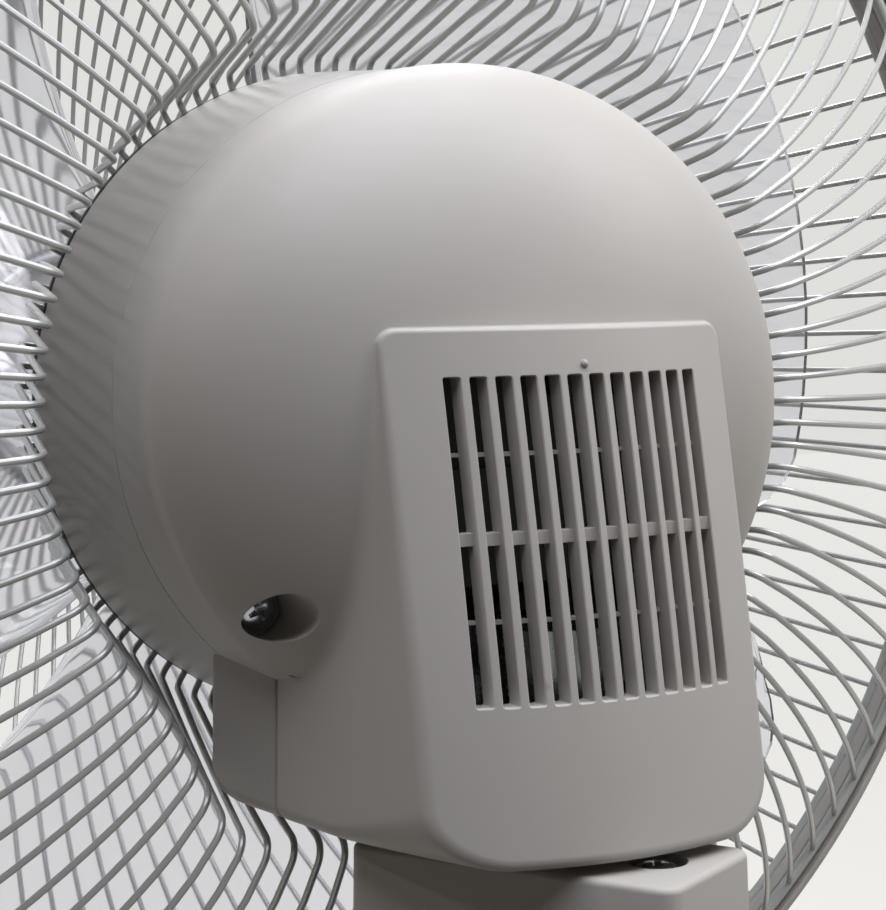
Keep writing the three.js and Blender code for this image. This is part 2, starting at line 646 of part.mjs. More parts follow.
// ---------------------------------------------------------------- swing drive
/** Involute spur gear outline with backlash; the first tooth points along the start angle. */
function gearOutline(teeth, start) {
  const pitch = (GEAR_MODULE * teeth) / 2;
  const base = pitch * Math.cos(rad(20));
  const tip = pitch + GEAR_MODULE * 0.9;
  const root = pitch - GEAR_MODULE * 1.25;
  const involute = (radius) => {
    const a = Math.acos(Math.min(base / Math.max(radius, base), 1));
    return Math.tan(a) - a;
  };
  const half = Math.PI / (2 * teeth) - GEAR_BACKLASH / (2 * pitch);
  const flank = (radius) => half + involute(pitch) - involute(radius);
  const radii = [root, tip];
  return Array.from({ length: teeth }, (_, i) => {
    const middle = rad(start) + (2 * Math.PI * i) / teeth;
    const rise = radii.map((radius) => [radius, middle - flank(radius)]);
    const fall = radii.map((radius) => [radius, middle + flank(radius)]).reverse();
    return [...rise, ...fall];
  }).flat().map(([radius, angle]) => [radius * Math.cos(angle), radius * Math.sin(angle)]);
}

const swingGear = () => cut(prism(gearOutline(GEAR_TEETH, -90), GEAR_BOTTOM, GEAR_TOP),
  bar('z', POST_TOP_RADIUS + FIT_GAP, GEAR_BOTTOM - 1, GEAR_TOP + 1));

function swingPinion() {
  const start = 90 + 180 / PINION_TEETH;
  return cut(prism(gearOutline(PINION_TEETH, start), GEAR_BOTTOM, GEAR_TOP),
    bar('z', SWING_SHAFT_RADIUS, GEAR_BOTTOM - 1, GEAR_TOP + 1, [0, 0], 12));
}

function swingMotor() {
  const [bottom, top] = [SWING_MOTOR_BOTTOM, SWING_MOTOR_BOTTOM + SWING_MOTOR_HEIGHT];
  const earHalf = [SWING_EAR_X + 3, 3.5];
  const ears = block([-earHalf[0], PINION_Y - earHalf[1], bottom],
    [earHalf[0], PINION_Y + earHalf[1], bottom + SWING_EAR_THICK]);
  return join(bar('z', SWING_MOTOR_RADIUS, bottom, top, [0, PINION_Y], 20), ears,
    bar('z', SWING_SHAFT_RADIUS - SHAFT_CLEAR * 2, GEAR_BOTTOM, bottom + 1, [0, PINION_Y], 12));
}

function swingBracket() {
  const bottom = BRACKET_PLATE_TOP - BRACKET_PLATE_THICK;
  const shelf = -CASE_RADIUS - FIT_GAP;
  const plate = block([-BRACKET_PLATE_HALF, BRACKET_PLATE_FRONT, bottom],
    [BRACKET_PLATE_HALF, PIVOT_BACK + POST_RADIUS, BRACKET_PLATE_TOP]);
  const upright = block([-BRACKET_RISER_HALF, BRACKET_PLATE_FRONT, bottom],
    [BRACKET_RISER_HALF, BRACKET_PLATE_FRONT + BRACKET_PLATE_THICK, shelf]);
  const tongue = block([-BRACKET_RISER_HALF, LOWER_FRONT + 5, shelf - BRACKET_PLATE_THICK],
    [BRACKET_RISER_HALF, BRACKET_PLATE_FRONT + 1, shelf]);
  const hub = bar('z', SWING_HUB_RADIUS, WASHER_TOP + FIT_GAP, SWING_HUB_TOP, [0, PIVOT_BACK], 20);
  const bore = bar('z', POST_RADIUS + FIT_GAP, WASHER_BOTTOM - 5, SWING_HUB_TOP + 1, [0, PIVOT_BACK]);
  const posts = bothSides.map((side) => bar('z', SWING_POST_RADIUS, BRACKET_PLATE_TOP - 1,
    SWING_MOTOR_BOTTOM - FIT_GAP, [side * SWING_EAR_X, PINION_Y], 12));
  return cut(join(plate, upright, tongue, hub, ...posts), bore);
}

// ---------------------------------------------------------------- guards
/** Radius of the rear guard's crest, which widens below to go round the pod's lower body. */
function crestRadius(degrees) {
  const fromBottom = Math.abs(((degrees + 630) % 360) - 180);
  if (fromBottom >= KEYHOLE_SPREAD) return GUARD_CREST_RADIUS;
  const side = KEYHOLE_SIDE / Math.cos(rad(KEYHOLE_SIDE_TURN - fromBottom));
  const across = side * Math.sin(rad(fromBottom));
  const bottom = (KEYHOLE_DROP - KEYHOLE_BOW * across * across) / Math.cos(rad(fromBottom));
  return Math.max(GUARD_CREST_RADIUS, Math.min(side, bottom));
}

/** Rear guard surface: depth for a share of the way from crest to rim. */
const rearGuardDepth = (share) => GUARD_CREST_DEPTH - (GUARD_CREST_DEPTH - GUARD_REAR) * share ** GUARD_FALL;

/** Front guard surface: depth at a radius. */
const frontGuardDepth = (radius) =>
  GUARD_NOSE + (GUARD_FRONT - GUARD_NOSE) * (radius / GUARD_RADIUS) ** GUARD_BELLY;

const onWheel = (radius, degrees, y) => [radius * Math.cos(rad(degrees)), y, radius * Math.sin(rad(degrees))];

function rearGuardWire(degrees) {
  const plateY = -GUARD_PLATE_THICK / 2 - FIT_GAP;
  const crest = crestRadius(degrees);
  const path = [onWheel(GUARD_PLATE_RADIUS - 3, degrees + GUARD_ROOT_SWIRL, plateY),
    onWheel(GUARD_ROOT_RADIUS - 2, degrees + GUARD_ROOT_SWIRL, plateY),
    onWheel(GUARD_ROOT_RADIUS + 0.5, degrees + GUARD_ROOT_SWIRL * 0.95, 3),
    onWheel(crest - 4.5, degrees + 0.4, GUARD_CREST_DEPTH - 7),
    onWheel(crest - 1, degrees, GUARD_CREST_DEPTH - 0.8)];
  for (const share of [0.07, 0.35, 0.68, 1]) {
    path.push(onWheel(crest + share * (GUARD_RADIUS - crest), degrees, rearGuardDepth(share)));
  }
  return wire(path, WIRE_RADIUS);
}

function rearGuard() {
  const plate = sleeve('y', GUARD_PLATE_RADIUS, GUARD_PLATE_BORE, -GUARD_PLATE_THICK - FIT_GAP, -FIT_GAP,
    [0, 0], 32);
  const wires = Array.from({ length: GUARD_WIRES }, (_, i) => rearGuardWire((i + 0.5) * 360 / GUARD_WIRES));
  return join(plate, ring(GUARD_RADIUS, GUARD_REAR, RIM_WIRE_RADIUS), ...wires);
}

/** Straight radial wire that goes round the front guard's belly to its rim. */
function frontGuardWire(degrees) {
  const path = [0, 0.35, 0.58, 0.74, 0.88, 1].map((share) => {
    const radius = BADGE_RING_RADIUS + share * (GUARD_RADIUS - BADGE_RING_RADIUS);
    return onWheel(radius, degrees, frontGuardDepth(radius));
  });
  return wire(path, WIRE_RADIUS);
}

function frontGuard() {
  const wires = Array.from({ length: GUARD_WIRES }, (_, i) => frontGuardWire(i * 360 / GUARD_WIRES));
  return join(ring(BADGE_RING_RADIUS, frontGuardDepth(BADGE_RING_RADIUS), BADGE_RING_WIRE, 36),
    ring(GUARD_RADIUS, GUARD_FRONT, RIM_WIRE_RADIUS), ...wires);
}

function frontBadge() {
  const back = frontGuardDepth(BADGE_RING_RADIUS) - BADGE_RING_WIRE - FIT_GAP;
  const front = GUARD_NOSE - BADGE_THICK;
  return turned([[0, front], [BADGE_RADIUS * 0.6, front + 0.5], [BADGE_RADIUS, front + 2],
    [BADGE_RADIUS, back], [0, back]], 'y', 32);
}

/** Band that holds both guards' rim wires, with an inner rib between them. */
function guardRim() {
  const inner = RIM_OUTER - RIM_WALL;
  const [rear, front] = [GUARD_REAR + RIM_WIRE_RADIUS, GUARD_FRONT - RIM_WIRE_RADIUS];
  const middle = (rear + front) / 2;
  const half = (GUARD_REAR - GUARD_FRONT) / 2 - RIM_WIRE_RADIUS - FIT_GAP;
  return turned([[inner, front], [RIM_OUTER, front], [RIM_OUTER, rear], [inner, rear],
    [inner, middle + half], [inner - RIM_RIB, middle + half], [inner - RIM_RIB, middle - half],
    [inner, middle - half], [inner, front]], 'y', RIM_SEGMENTS);
}

function guardNut() {
  const back = -GUARD_PLATE_THICK - 2 * FIT_GAP;
  const grips = Array.from({ length: NUT_GRIPS }, (_, i) => {
    const grip = new THREE.BoxGeometry(...NUT_GRIP).translate(NUT_RADIUS, back - NUT_THICK * 0.6, 0);
    return solid(grip.rotateY((i / NUT_GRIPS) * 2 * Math.PI));
  });
  return join(sleeve('y', NUT_RADIUS, NOSE_RADIUS + FIT_GAP, back - NUT_THICK, back, [0, 0], 24), ...grips);
}

// ---------------------------------------------------------------- blade
/** One broad, swept and twisted blade; its rear edge comes first in the turn. */
function bladeSheet(turn) {
  const stations = [HUB_RADIUS - 2, 68, 100, 134, BLADE_RADIUS];
  const chords = [0, 0.17, 0.33, 0.5, 0.67, 0.83, 1];
  const spot = (radius, chord, side) => {
    const out = (radius - HUB_RADIUS) / (BLADE_RADIUS - HUB_RADIUS);
    const span = BLADE_ROOT_SPAN + (BLADE_TIP_SPAN - BLADE_ROOT_SPAN) * out;
    const travel = BLADE_TRAVEL * (1 - (1 - BLADE_TIP_SHARE) * out);
    const y = BLADE_BACK - travel * chord - BLADE_CAMBER * Math.sin(Math.PI * chord);
    return onWheel(radius, turn + BLADE_SWEEP * out * out + span * (chord - 0.5), y + side * BLADE_THICK / 2);
  };
  const grid = (side) => stations.map((radius) => chords.map((chord) => spot(radius, chord, side)));
  return sheet(grid(1), grid(-1));
}

function fanBlade() {
  const back = BLADE_BACK + HUB_PROUD;
  const [bore, inner, web] = [SHAFT_RADIUS + FIT_GAP, HUB_RADIUS - HUB_WALL, HUB_FRONT + HUB_WEB];
  const bossRear = BLADE_BACK - HUB_BOSS_INSET;
  const hub = turned([[bore, HUB_FRONT], [HUB_RADIUS - 6, HUB_FRONT], [HUB_RADIUS, HUB_FRONT + 8],
    [HUB_RADIUS, back], [inner, back], [inner, web], [HUB_BOSS_RADIUS, web], [HUB_BOSS_RADIUS, bossRear],
    [bore, bossRear], [bore, HUB_FRONT]], 'y');
  const inside = bar('y', inner, web, back + 20, [0, 0], 28);
  const sheets = Array.from({ length: BLADE_COUNT }, (_, i) =>
    bladeSheet(BLADE_REST + (i * 360) / BLADE_COUNT));
  return join(hub, ...sheets.map((sheet) => cut(sheet, inside)));
}

function bladeNut() {
  const back = HUB_FRONT - FIT_GAP;
  const body = turned([[0, back - SPINNER_DEPTH], [SPINNER_RADIUS * 0.6, back - SPINNER_DEPTH + 1],
    [SPINNER_RADIUS, back - SPINNER_DEPTH * 0.45], [SPINNER_RADIUS, back], [0, back]], 'y', 20);
  const boreEnd = HUB_FRONT - SPINNER_DEPTH * SHAFT_SHARE - FIT_GAP;
  return cut(body, bar('y', SHAFT_RADIUS + FIT_GAP, boreEnd, back + 1));
}

// ---------------------------------------------------------------- neck
/** Rounded rectangle outline, centred between front and rear. */
function roundedBox(halfWidth, front, rear, corner, steps = 4) {
  const spots = [[1, rear, 0], [-1, rear, 90], [-1, -front, 180], [1, -front, 270]];
  const shares = Array.from({ length: steps + 1 }, (_, i) => i / steps);
  return spots.flatMap(([side, edge, start]) => shares.map((share) => {
    const angle = rad(start + 90 * share);
    const centreX = side * (halfWidth - corner);
    const centreY = edge - Math.sign(edge) * corner;
    return [centreX + corner * Math.cos(angle), centreY + corner * Math.sin(angle)];
  }));
}

function neckBody(inset, low, high, flare) {
  const ringAt = (z, extra) => roundedBox(NECK_WIDTH / 2 - inset + extra, NECK_FRONT - inset + extra,
    NECK_REAR - inset + extra, Math.max(NECK_CORNER - inset, 1)).map(([x, y]) => [x, y, z]);
  return lofted([ringAt(low, flare), ringAt(high, 0)], [0, 0, low], [0, 0, high]);
}

function neckShell() {
  const outer = neckBody(0, NECK_BOTTOM_Z, NECK_TOP_Z, NECK_FLARE);
  const inner = neckBody(NECK_WALL, NECK_BOTTOM_Z - 1, NECK_TOP_Z - NECK_WALL - 3, NECK_FLARE);
  const cheekInside = LUG_THICK / 2 + RUN_GAP;
  const cheeks = bothSides.map((side) => block(
    [Math.min(side * cheekInside, side * (NECK_WIDTH / 2 - 1)), -12, NECK_BOTTOM_Z],
    [Math.max(side * cheekInside, side * (NECK_WIDTH / 2 - 1)), 12, TILT_Z + LUG_RADIUS + 4]));
  const post = bar('z', POST_RADIUS + 3, NECK_TOP_Z - 24, NECK_TOP_Z - 1);
  const screwBoss = bar('z', 5, NECK_TOP_Z - 18, NECK_TOP_Z - 1, [0, NECK_SCREW_BACK], 16);
  const onScrew = (radius, drop) =>
    bar('z', radius, NECK_TOP_Z - drop, NECK_TOP_Z + 1, [0, NECK_SCREW_BACK], 20);
  const recess = onScrew(NECK_RECESS_RADIUS, NECK_RECESS_DEPTH);
  const screwBore = onScrew(SCREW_SHANK_RADIUS + FIT_GAP, 16);
  const postBore = bar('z', POST_RADIUS + FIT_GAP, NECK_TOP_Z - 22, NECK_TOP_Z + 1);
  const pinBore = bar('x', TILT_PIN_RADIUS + FIT_GAP, -NECK_WIDTH, NECK_WIDTH, [0, TILT_Z]);
  return cut(join(cut(outer, inner), ...cheeks, post, screwBoss), recess, screwBore, postBore, pinBore);
}

function pivotPost() {
  const [foot, shoulder, top] = [NECK_TOP - 21.5, GEAR_BOTTOM - FIT_GAP, GEAR_TOP + 0.6];
  return turned([[0, foot], [POST_RADIUS, foot], [POST_RADIUS, shoulder], [POST_TOP_RADIUS, shoulder],
    [POST_TOP_RADIUS, top], [0, top]], 'z', 16);
}

// ---------------------------------------------------------------- pole
function poleHead() {
  const plug = bar('z', MAST_RADIUS - MAST_WALL - FIT_GAP, POLE_CAP_BOTTOM - 20, POLE_CAP_BOTTOM + 1);
  const cap = bar('z', POLE_CAP_RADIUS, POLE_CAP_BOTTOM + FIT_GAP, POLE_CAP_TOP, [0, 0], 24);
  const half = LUG_THICK / 2;
  const plate = block([-half, -LUG_SHANK, POLE_CAP_TOP - 1], [half, LUG_SHANK, TILT_Z]);
  const knuckle = bar('x', LUG_RADIUS, -half, half, [0, TILT_Z], 24);
  return cut(join(plug, cap, plate, knuckle),
    bar('x', TILT_PIN_RADIUS + FIT_GAP, -NECK_WIDTH, NECK_WIDTH, [0, TILT_Z]));
}

const tiltPin = () => bar('x', TILT_PIN_RADIUS, -NECK_WIDTH / 2 + 0.5, NECK_WIDTH / 2 - 0.5, [0, TILT_Z]);

function heightCollar() {
  const [low, high] = [POLE_TOP - COLLAR_HEIGHT + 8, POLE_TOP + 8];
  const step = POLE_TOP + FIT_GAP;
  const body = turned([[POLE_RADIUS + FIT_GAP, low], [COLLAR_RADIUS - 2, low], [COLLAR_RADIUS, low + 3],
    [COLLAR_RADIUS, high - 4], [COLLAR_RADIUS - 4, high], [MAST_RADIUS + RUN_GAP, high],
    [MAST_RADIUS + RUN_GAP, step], [POLE_RADIUS + FIT_GAP, step], [POLE_RADIUS + FIT_GAP, low]], 'z', 24);
  const grips = Array.from({ length: COLLAR_GRIPS }, (_, i) => {
    const angle = (i / COLLAR_GRIPS) * 2 * Math.PI;
    const spot = [COLLAR_RADIUS * Math.cos(angle), COLLAR_RADIUS * Math.sin(angle)];
    return bar('z', 1.6, low + 5, high - 6, spot, 6);
  });
  return cut(body, ...grips);
}

// ---------------------------------------------------------------- base, centred ahead of the pole
const BASE_Y = -BASE_SHIFT;
const PANEL_Y = -PANEL_AHEAD;

/** Base cover as a turned solid about the base's centre. */
function baseDome(inset, bottom, segments) {
  const [edge, skirt] = [BASE_RADIUS - inset, PLATE_TOP + 3];
  const rise = BASE_TOP - inset - skirt;
  const outline = [[0, bottom], [edge, bottom], [edge, skirt]];
  const steps = 4;
  for (let i = 1; i <= steps; i++) {
    const angle = (i / steps) * (Math.PI / 2);
    outline.push([edge - BASE_EDGE * (1 - Math.cos(angle)), skirt + rise * Math.sin(angle)]);
  }
  outline.push([0, BASE_TOP - inset]);
  return turned(outline, 'z', segments).translate([0, BASE_Y, 0]);
}

/** Block round the control panel's outline, grown by a margin. */
const panelBlock = (margin, bottom, top) => block(
  [-PANEL_WIDTH / 2 - margin, PANEL_Y - PANEL_DEPTH / 2 - margin, bottom],
  [PANEL_WIDTH / 2 + margin, PANEL_Y + PANEL_DEPTH / 2 + margin, top]);

function baseCover() {
  const above = BASE_TOP + 5;
  const pocket = panelBlock(FIT_GAP, PANEL_BOTTOM - FIT_GAP, above);
  const pocketWalls = panelBlock(2, PANEL_BOTTOM - PANEL_LIP, BASE_TOP - 1);
  const window = panelBlock(-PANEL_LIP, PANEL_BOTTOM - PANEL_LIP - 2, above);
  const socketBoreRadius = POLE_RADIUS + FIT_GAP;
  const socket = sleeve('z', POLE_RADIUS + 4, socketBoreRadius, BASE_TOP - 1.5, BASE_TOP + 8, [0, 0], 24);
  const socketBore = bar('z', socketBoreRadius, 0, BASE_TOP + 20, [0, 0], 24);
  const rear = BASE_Y + BASE_RADIUS;
  const inletHole = block([-INLET_WIDTH / 2 - FIT_GAP, rear - INLET_DEPTH, INLET_BOTTOM - FIT_GAP],
    [INLET_WIDTH / 2 + FIT_GAP, rear + 5, INLET_BOTTOM + INLET_HEIGHT + FIT_GAP]);
  const shell = cut(baseDome(0, PLATE_TOP + FIT_GAP, 56), baseDome(BASE_WALL, PLATE_TOP - 2, 28));
  return cut(join(shell, pocketWalls, socket), pocket, window, socketBore, inletHole);
}

const basePlate = () => turned([[0, FOOT_HEIGHT + FIT_GAP], [BASE_RADIUS - 3, FOOT_HEIGHT + FIT_GAP],
  [BASE_RADIUS - 3, PLATE_TOP], [0, PLATE_TOP]], 'z', 48).translate([0, BASE_Y, 0]);

function baseWeight() {
  const radius = BASE_RADIUS - WEIGHT_INSET;
  const disc = turned([[0, WEIGHT_BOTTOM], [radius, WEIGHT_BOTTOM], [radius, WEIGHT_TOP - 2],
    [radius - 2, WEIGHT_TOP], [0, WEIGHT_TOP]], 'z', 32).translate([0, BASE_Y, 0]);
  const bore = bar('z', POLE_RADIUS + FIT_GAP, 0, BASE_TOP, [0, 0], 24);
  const edge = BASE_Y + BASE_RADIUS;
  const inletRoom = block([-INLET_WIDTH, edge - INLET_DEPTH - 4, 0], [INLET_WIDTH, edge + 1, BASE_TOP]);
  return cut(disc, bore, inletRoom);
}

function foot(i) {
  const angle = rad(45 + (i * 360) / FOOT_COUNT);
  const circle = BASE_RADIUS - FOOT_INSET;
  const spot = [circle * Math.cos(angle), BASE_Y + circle * Math.sin(angle)];
  return bar('z', FOOT_RADIUS, 0, FOOT_HEIGHT, spot, 16);
}

const buttonNames = ['power_button', 'speed_button', 'swing_button', 'timer_button'];
const buttonX = (i) => (i - (buttonNames.length - 1) / 2) * BUTTON_PITCH;

function controlPanel() {
  const outline = roundedBox(PANEL_WIDTH / 2, PANEL_DEPTH / 2, PANEL_DEPTH / 2, 3);
  const slab = prism(outline, PANEL_BOTTOM, PANEL_TOP).translate([0, PANEL_Y, 0]);
  return cut(slab, ...buttonNames.map((_, i) =>
    bar('z', BUTTON_RADIUS + RUN_GAP, 0, PANEL_TOP + 9, [buttonX(i), PANEL_Y])));
}

function pushButton(i) {
  const flangeTop = PANEL_BOTTOM - FIT_GAP;
  const flangeBottom = flangeTop - BUTTON_FLANGE;
  const top = PANEL_TOP + BUTTON_PROUD;
  return turned([[0, flangeBottom], [BUTTON_RADIUS + 2, flangeBottom], [BUTTON_RADIUS + 2, flangeTop],
    [BUTTON_RADIUS, flangeTop], [BUTTON_RADIUS, top - 0.6], [BUTTON_RADIUS - 0.6, top], [0, top]], 'z', 16)
    .translate([buttonX(i), PANEL_Y, 0]);
}

/** Switch board under the panel, on the base weight, with a switch and its plunger room for each button. */
function switchBoard() {
  const low = WEIGHT_TOP + FIT_GAP;
  const legTop = PANEL_BOTTOM - SWITCH_ROOM;
  const half = PANEL_WIDTH / 2 - SWITCH_ROOM;
  const board = block([-half, PANEL_Y - BOARD_HALF_DEPTH, legTop],
    [half, PANEL_Y + BOARD_HALF_DEPTH, legTop + BOARD_THICK]);
  const pillar = (x, halfDepth, from, to) => block([x - SWITCH_HALF, PANEL_Y - halfDepth, from],
    [x + SWITCH_HALF, PANEL_Y + halfDepth, to]);
  const legs = bothSides.map((side) => pillar(side * SWITCH_LEG_X, BOARD_HALF_DEPTH - 2, low, legTop + 1));
  const switchTop = PANEL_BOTTOM - BUTTON_FLANGE - BUTTON_TRAVEL - 2 * FIT_GAP;
  const switches = buttonNames.map((_, i) => pillar(buttonX(i), SWITCH_HALF, legTop + 1, switchTop));
  return join(board, ...legs, ...switches);
}

function powerInlet() {
  const rear = BASE_Y + BASE_RADIUS - 1;
  const front = rear - INLET_DEPTH;
  const middle = INLET_BOTTOM + INLET_HEIGHT / 2;
  const body = block([-INLET_WIDTH / 2, front, INLET_BOTTOM],
    [INLET_WIDTH / 2, rear, INLET_BOTTOM + INLET_HEIGHT]);
  return join(cut(body, bar('y', INLET_SOCKET_RADIUS, front + 4, rear + 1, [0, middle])),
    bar('y', INLET_PIN_RADIUS, front + 3, rear - 2, [0, middle], 10));
}

// ---------------------------------------------------------------- assembly
/** Head: everything that swings, in the frame of the pod; Y is the blade axis. */
function head() {
  const group = new THREE.Group();
  group.add(node('rear_cover', rearCover(), greyPlastic));
  group.add(node('lower_front_cover', lowerFrontCover(), greyPlastic));
  const coverScrew = crossScrew(SCREW_HEAD_RADIUS, SCREW_HEAD_HEIGHT, SCREW_SHANK_RADIUS, SCREW_LENGTH);
  for (const [name, side] of [['cover_screw_left', 1], ['cover_screw_right', -1]]) {
    const screw = node(name, coverScrew, steel);
    screw.rotation.x = -Math.PI / 2;
    screw.position.set(side * COVER_SCREW_X, RECESS_FLOOR + FIT_GAP, COVER_SCREW_Z);
    group.add(screw);
  }
  group.add(node('motor_bracket', motorBracket(), darkPlastic));
  group.add(node('motor_case', motorCase(), steel));
  group.add(node('motor_stator', motorStator(), copper));
  group.add(node('front_bearing', bearing(BEARING_FRONT + 2), steel));
  group.add(node('rear_bearing', bearing(CASE_REAR - BEARING_WIDTH + 4 - FIT_GAP), steel));
  group.add(node('control_board', controlBoard(), boardGreen));
  group.add(node('swing_motor', swingMotor(), steel));
  group.add(node('swing_bracket', swingBracket(), steel));
  group.add(node('rear_guard', rearGuard(), wireGrey));
  group.add(node('front_guard', frontGuard(), wireGrey));
  group.add(node('guard_rim', guardRim(), greyPlastic));
  group.add(node('guard_nut', guardNut(), darkPlastic));
  group.add(node('front_badge', frontBadge(), greyPlastic));
  const pinion = node('swing_pinion', swingPinion(), nylon);
  pinion.position.set(0, PINION_Y, 0);
  group.add(pinion);
  group.add(node('motor_rotor', motorRotor(), steel));
  group.add(node('motor_shaft', motorShaft(), steel));
  group.add(node('fan_blade', fanBlade(), bladeGrey));
  group.add(node('blade_nut', bladeNut(), darkPlastic));
  return group;
}

/** Neck pieces on the swing axis, in head heights, Z along that axis. */
function neckTop() {
  const group = new THREE.Group();
  const gear = node('swing_gear', swingGear(), nylon);
  gear.rotation.z = -rad(SWING_AT_REST);
  group.add(gear);
  group.add(node('pivot_post', pivotPost(), steel));
  const postBore = POST_RADIUS + FIT_GAP;
  const washer = sleeve('z', HUB_WASHER_RADIUS, postBore, WASHER_BOTTOM, WASHER_TOP);
  group.add(node('thrust_washer', washer, nylon));
  const clip = sleeve('z', SWING_HUB_RADIUS - 1, postBore, CLIP_BOTTOM, CLIP_BOTTOM + CLIP_THICK, [0, 0], 24);
  group.add(node('retaining_ring', clip, steel));
  return group;
}

/** Neck, pole and base, standing on the floor, pole on the Z axis, front towards -Y. */
function stand() {
  const group = new THREE.Group();
  const onPost = neckTop();
  onPost.position.z = HEAD_HEIGHT;
  group.add(onPost);
  group.add(node('neck_shell', neckShell(), greyPlastic));
  const neckScrew = node('neck_screw', crossScrew(NECK_SCREW_RADIUS, 2, SCREW_SHANK_RADIUS, 12), steel);
  neckScrew.position.set(0, NECK_SCREW_BACK, NECK_TOP_Z - NECK_RECESS_DEPTH + FIT_GAP);
  group.add(neckScrew);
  group.add(node('tilt_pin', tiltPin(), steel));
  group.add(node('pole_head', poleHead(), greyPlastic));
  const poleBore = POLE_RADIUS - POLE_WALL;
  const mast = sleeve('z', MAST_RADIUS, MAST_RADIUS - MAST_WALL, MAST_BOTTOM, POLE_CAP_BOTTOM);
  const pole = sleeve('z', POLE_RADIUS, poleBore, PLATE_TOP + FIT_GAP, POLE_TOP);
  const bushTop = POLE_TOP - 1;
  const bush = sleeve('z', poleBore - FIT_GAP, MAST_RADIUS + FIT_GAP, bushTop - BUSH_LENGTH, bushTop);
  group.add(node('inner_pole', mast, steel));
  group.add(node('outer_pole', pole, greyPlastic));
  group.add(node('pole_bush', bush, nylon));
  group.add(node('height_collar', heightCollar(), darkPlastic));
  group.add(node('base_cover', baseCover(), greyPlastic));
  group.add(node('base_plate', basePlate(), darkPlastic));
  group.add(node('base_weight', baseWeight(), castIron));
  for (let i = 0; i < FOOT_COUNT; i++) group.add(node(`foot_${i + 1}`, foot(i), rubber));
  group.add(node('control_panel', controlPanel(), darkPlastic));
  buttonNames.forEach((name, i) => group.add(node(name, pushButton(i), greyPlastic)));
  group.add(node('switch_board', switchBoard(), boardGreen));
  group.add(node('power_inlet', powerInlet(), darkPlastic));
  return group;
}

const fan = new THREE.Group();
const fanHead = head();
fanHead.position.set(0, HEAD_Y, HEAD_HEIGHT);
fan.add(fanHead);
const fanStand = stand();
fanStand.rotation.z = rad(SWING_AT_REST);
fanStand.position.set(0, HEAD_Y + PIVOT_BACK, 0);
fan.add(fanStand);

const place = (...values) => values.map((value) => value.toFixed(3)).join(', ');
console.log(`blade axis: ${place(0, HEAD_Y, HEAD_HEIGHT)}`);
console.log(`swing axis: ${place(0, HEAD_Y + PIVOT_BACK, HEAD_HEIGHT + NECK_TOP)}`);
console.log(`pinion axis: ${place(0, HEAD_Y + PINION_Y, HEAD_HEIGHT + GEAR_BOTTOM)}`);
console.log(`tilt axis: ${place(0, HEAD_Y + PIVOT_BACK, TILT_Z)}`);

export default fan;
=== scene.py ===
# %% [markdown]
# # Air circulator fan
#
# The CAD part gives the sizes, the joints and the place of each piece. This script builds the looks around it,
# one piece after the other: the moulded pod and its grille, the screws, the two wire guards and the rim, the
# blade, the neck, the pole and the base.

# %% Load the frame
import json
from math import acos, atan2, copysign, cos, hypot, pi, radians, sin, sqrt, tan

import bmesh
import bpy
import numpy as np
from mathutils import Matrix, Vector, geometry


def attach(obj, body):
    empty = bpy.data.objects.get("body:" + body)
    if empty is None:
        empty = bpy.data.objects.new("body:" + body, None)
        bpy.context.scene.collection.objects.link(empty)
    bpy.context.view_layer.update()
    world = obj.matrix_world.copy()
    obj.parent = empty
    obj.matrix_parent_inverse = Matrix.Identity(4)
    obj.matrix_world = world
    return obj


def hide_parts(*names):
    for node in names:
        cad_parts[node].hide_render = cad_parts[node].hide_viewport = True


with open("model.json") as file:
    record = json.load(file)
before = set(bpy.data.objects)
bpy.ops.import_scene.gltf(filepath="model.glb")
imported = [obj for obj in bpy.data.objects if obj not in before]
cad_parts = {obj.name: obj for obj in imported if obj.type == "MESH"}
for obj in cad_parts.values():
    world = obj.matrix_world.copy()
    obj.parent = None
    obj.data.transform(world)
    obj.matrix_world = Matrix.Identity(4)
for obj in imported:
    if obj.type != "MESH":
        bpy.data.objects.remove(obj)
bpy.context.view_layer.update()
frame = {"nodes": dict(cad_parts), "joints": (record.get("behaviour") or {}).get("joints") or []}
joints = {j["name"]: j for j in frame["joints"]}

# %% [markdown]
# ## Measures and places
# All shapes are drawn in millimetres, in the head's frame (origin where the pod's band meets the rear guard, Y
# along the blade axis, rear positive) or the stand's (origin on the floor under the pole, front towards -Y).
# Two matrices bring them into metres. They come from the joints, so the looks follow the CAD part if it moves.

# %% Places of the head and the stand
MM = 0.001
SWING_AT_REST = 31.1  # degrees from the stand's forward direction to the head's
head_at = Vector(joints["blade_spin"]["pos_m"])
pivot_at = Vector(joints["head_swing"]["pos_m"])
TILT_Z = joints["head_tilt"]["pos_m"][2] / MM
HEAD_HEIGHT = head_at.z / MM
HEAD = Matrix.Translation(head_at) @ Matrix.Scale(MM, 4)
STAND = (Matrix.Translation((pivot_at.x, pivot_at.y, 0)) @ Matrix.Rotation(radians(SWING_AT_REST), 4, "Z")
         @ Matrix.Scale(MM, 4))
print("head at", tuple(head_at), "pivot behind it, mm:", round((pivot_at.y - head_at.y) / MM, 2))

# %% [markdown]
# ## Mesh helpers
# A `Shell` gathers points and faces. Points on the same spot become one, so strips that are drawn separately
# join into one skin. A point may carry its exact surface normal; on freeform surfaces that gives clean
# reflections whatever the triangles look like.

# %% Shell
JOIN_PER_MM = 200  # points within the same 1/200 mm become one


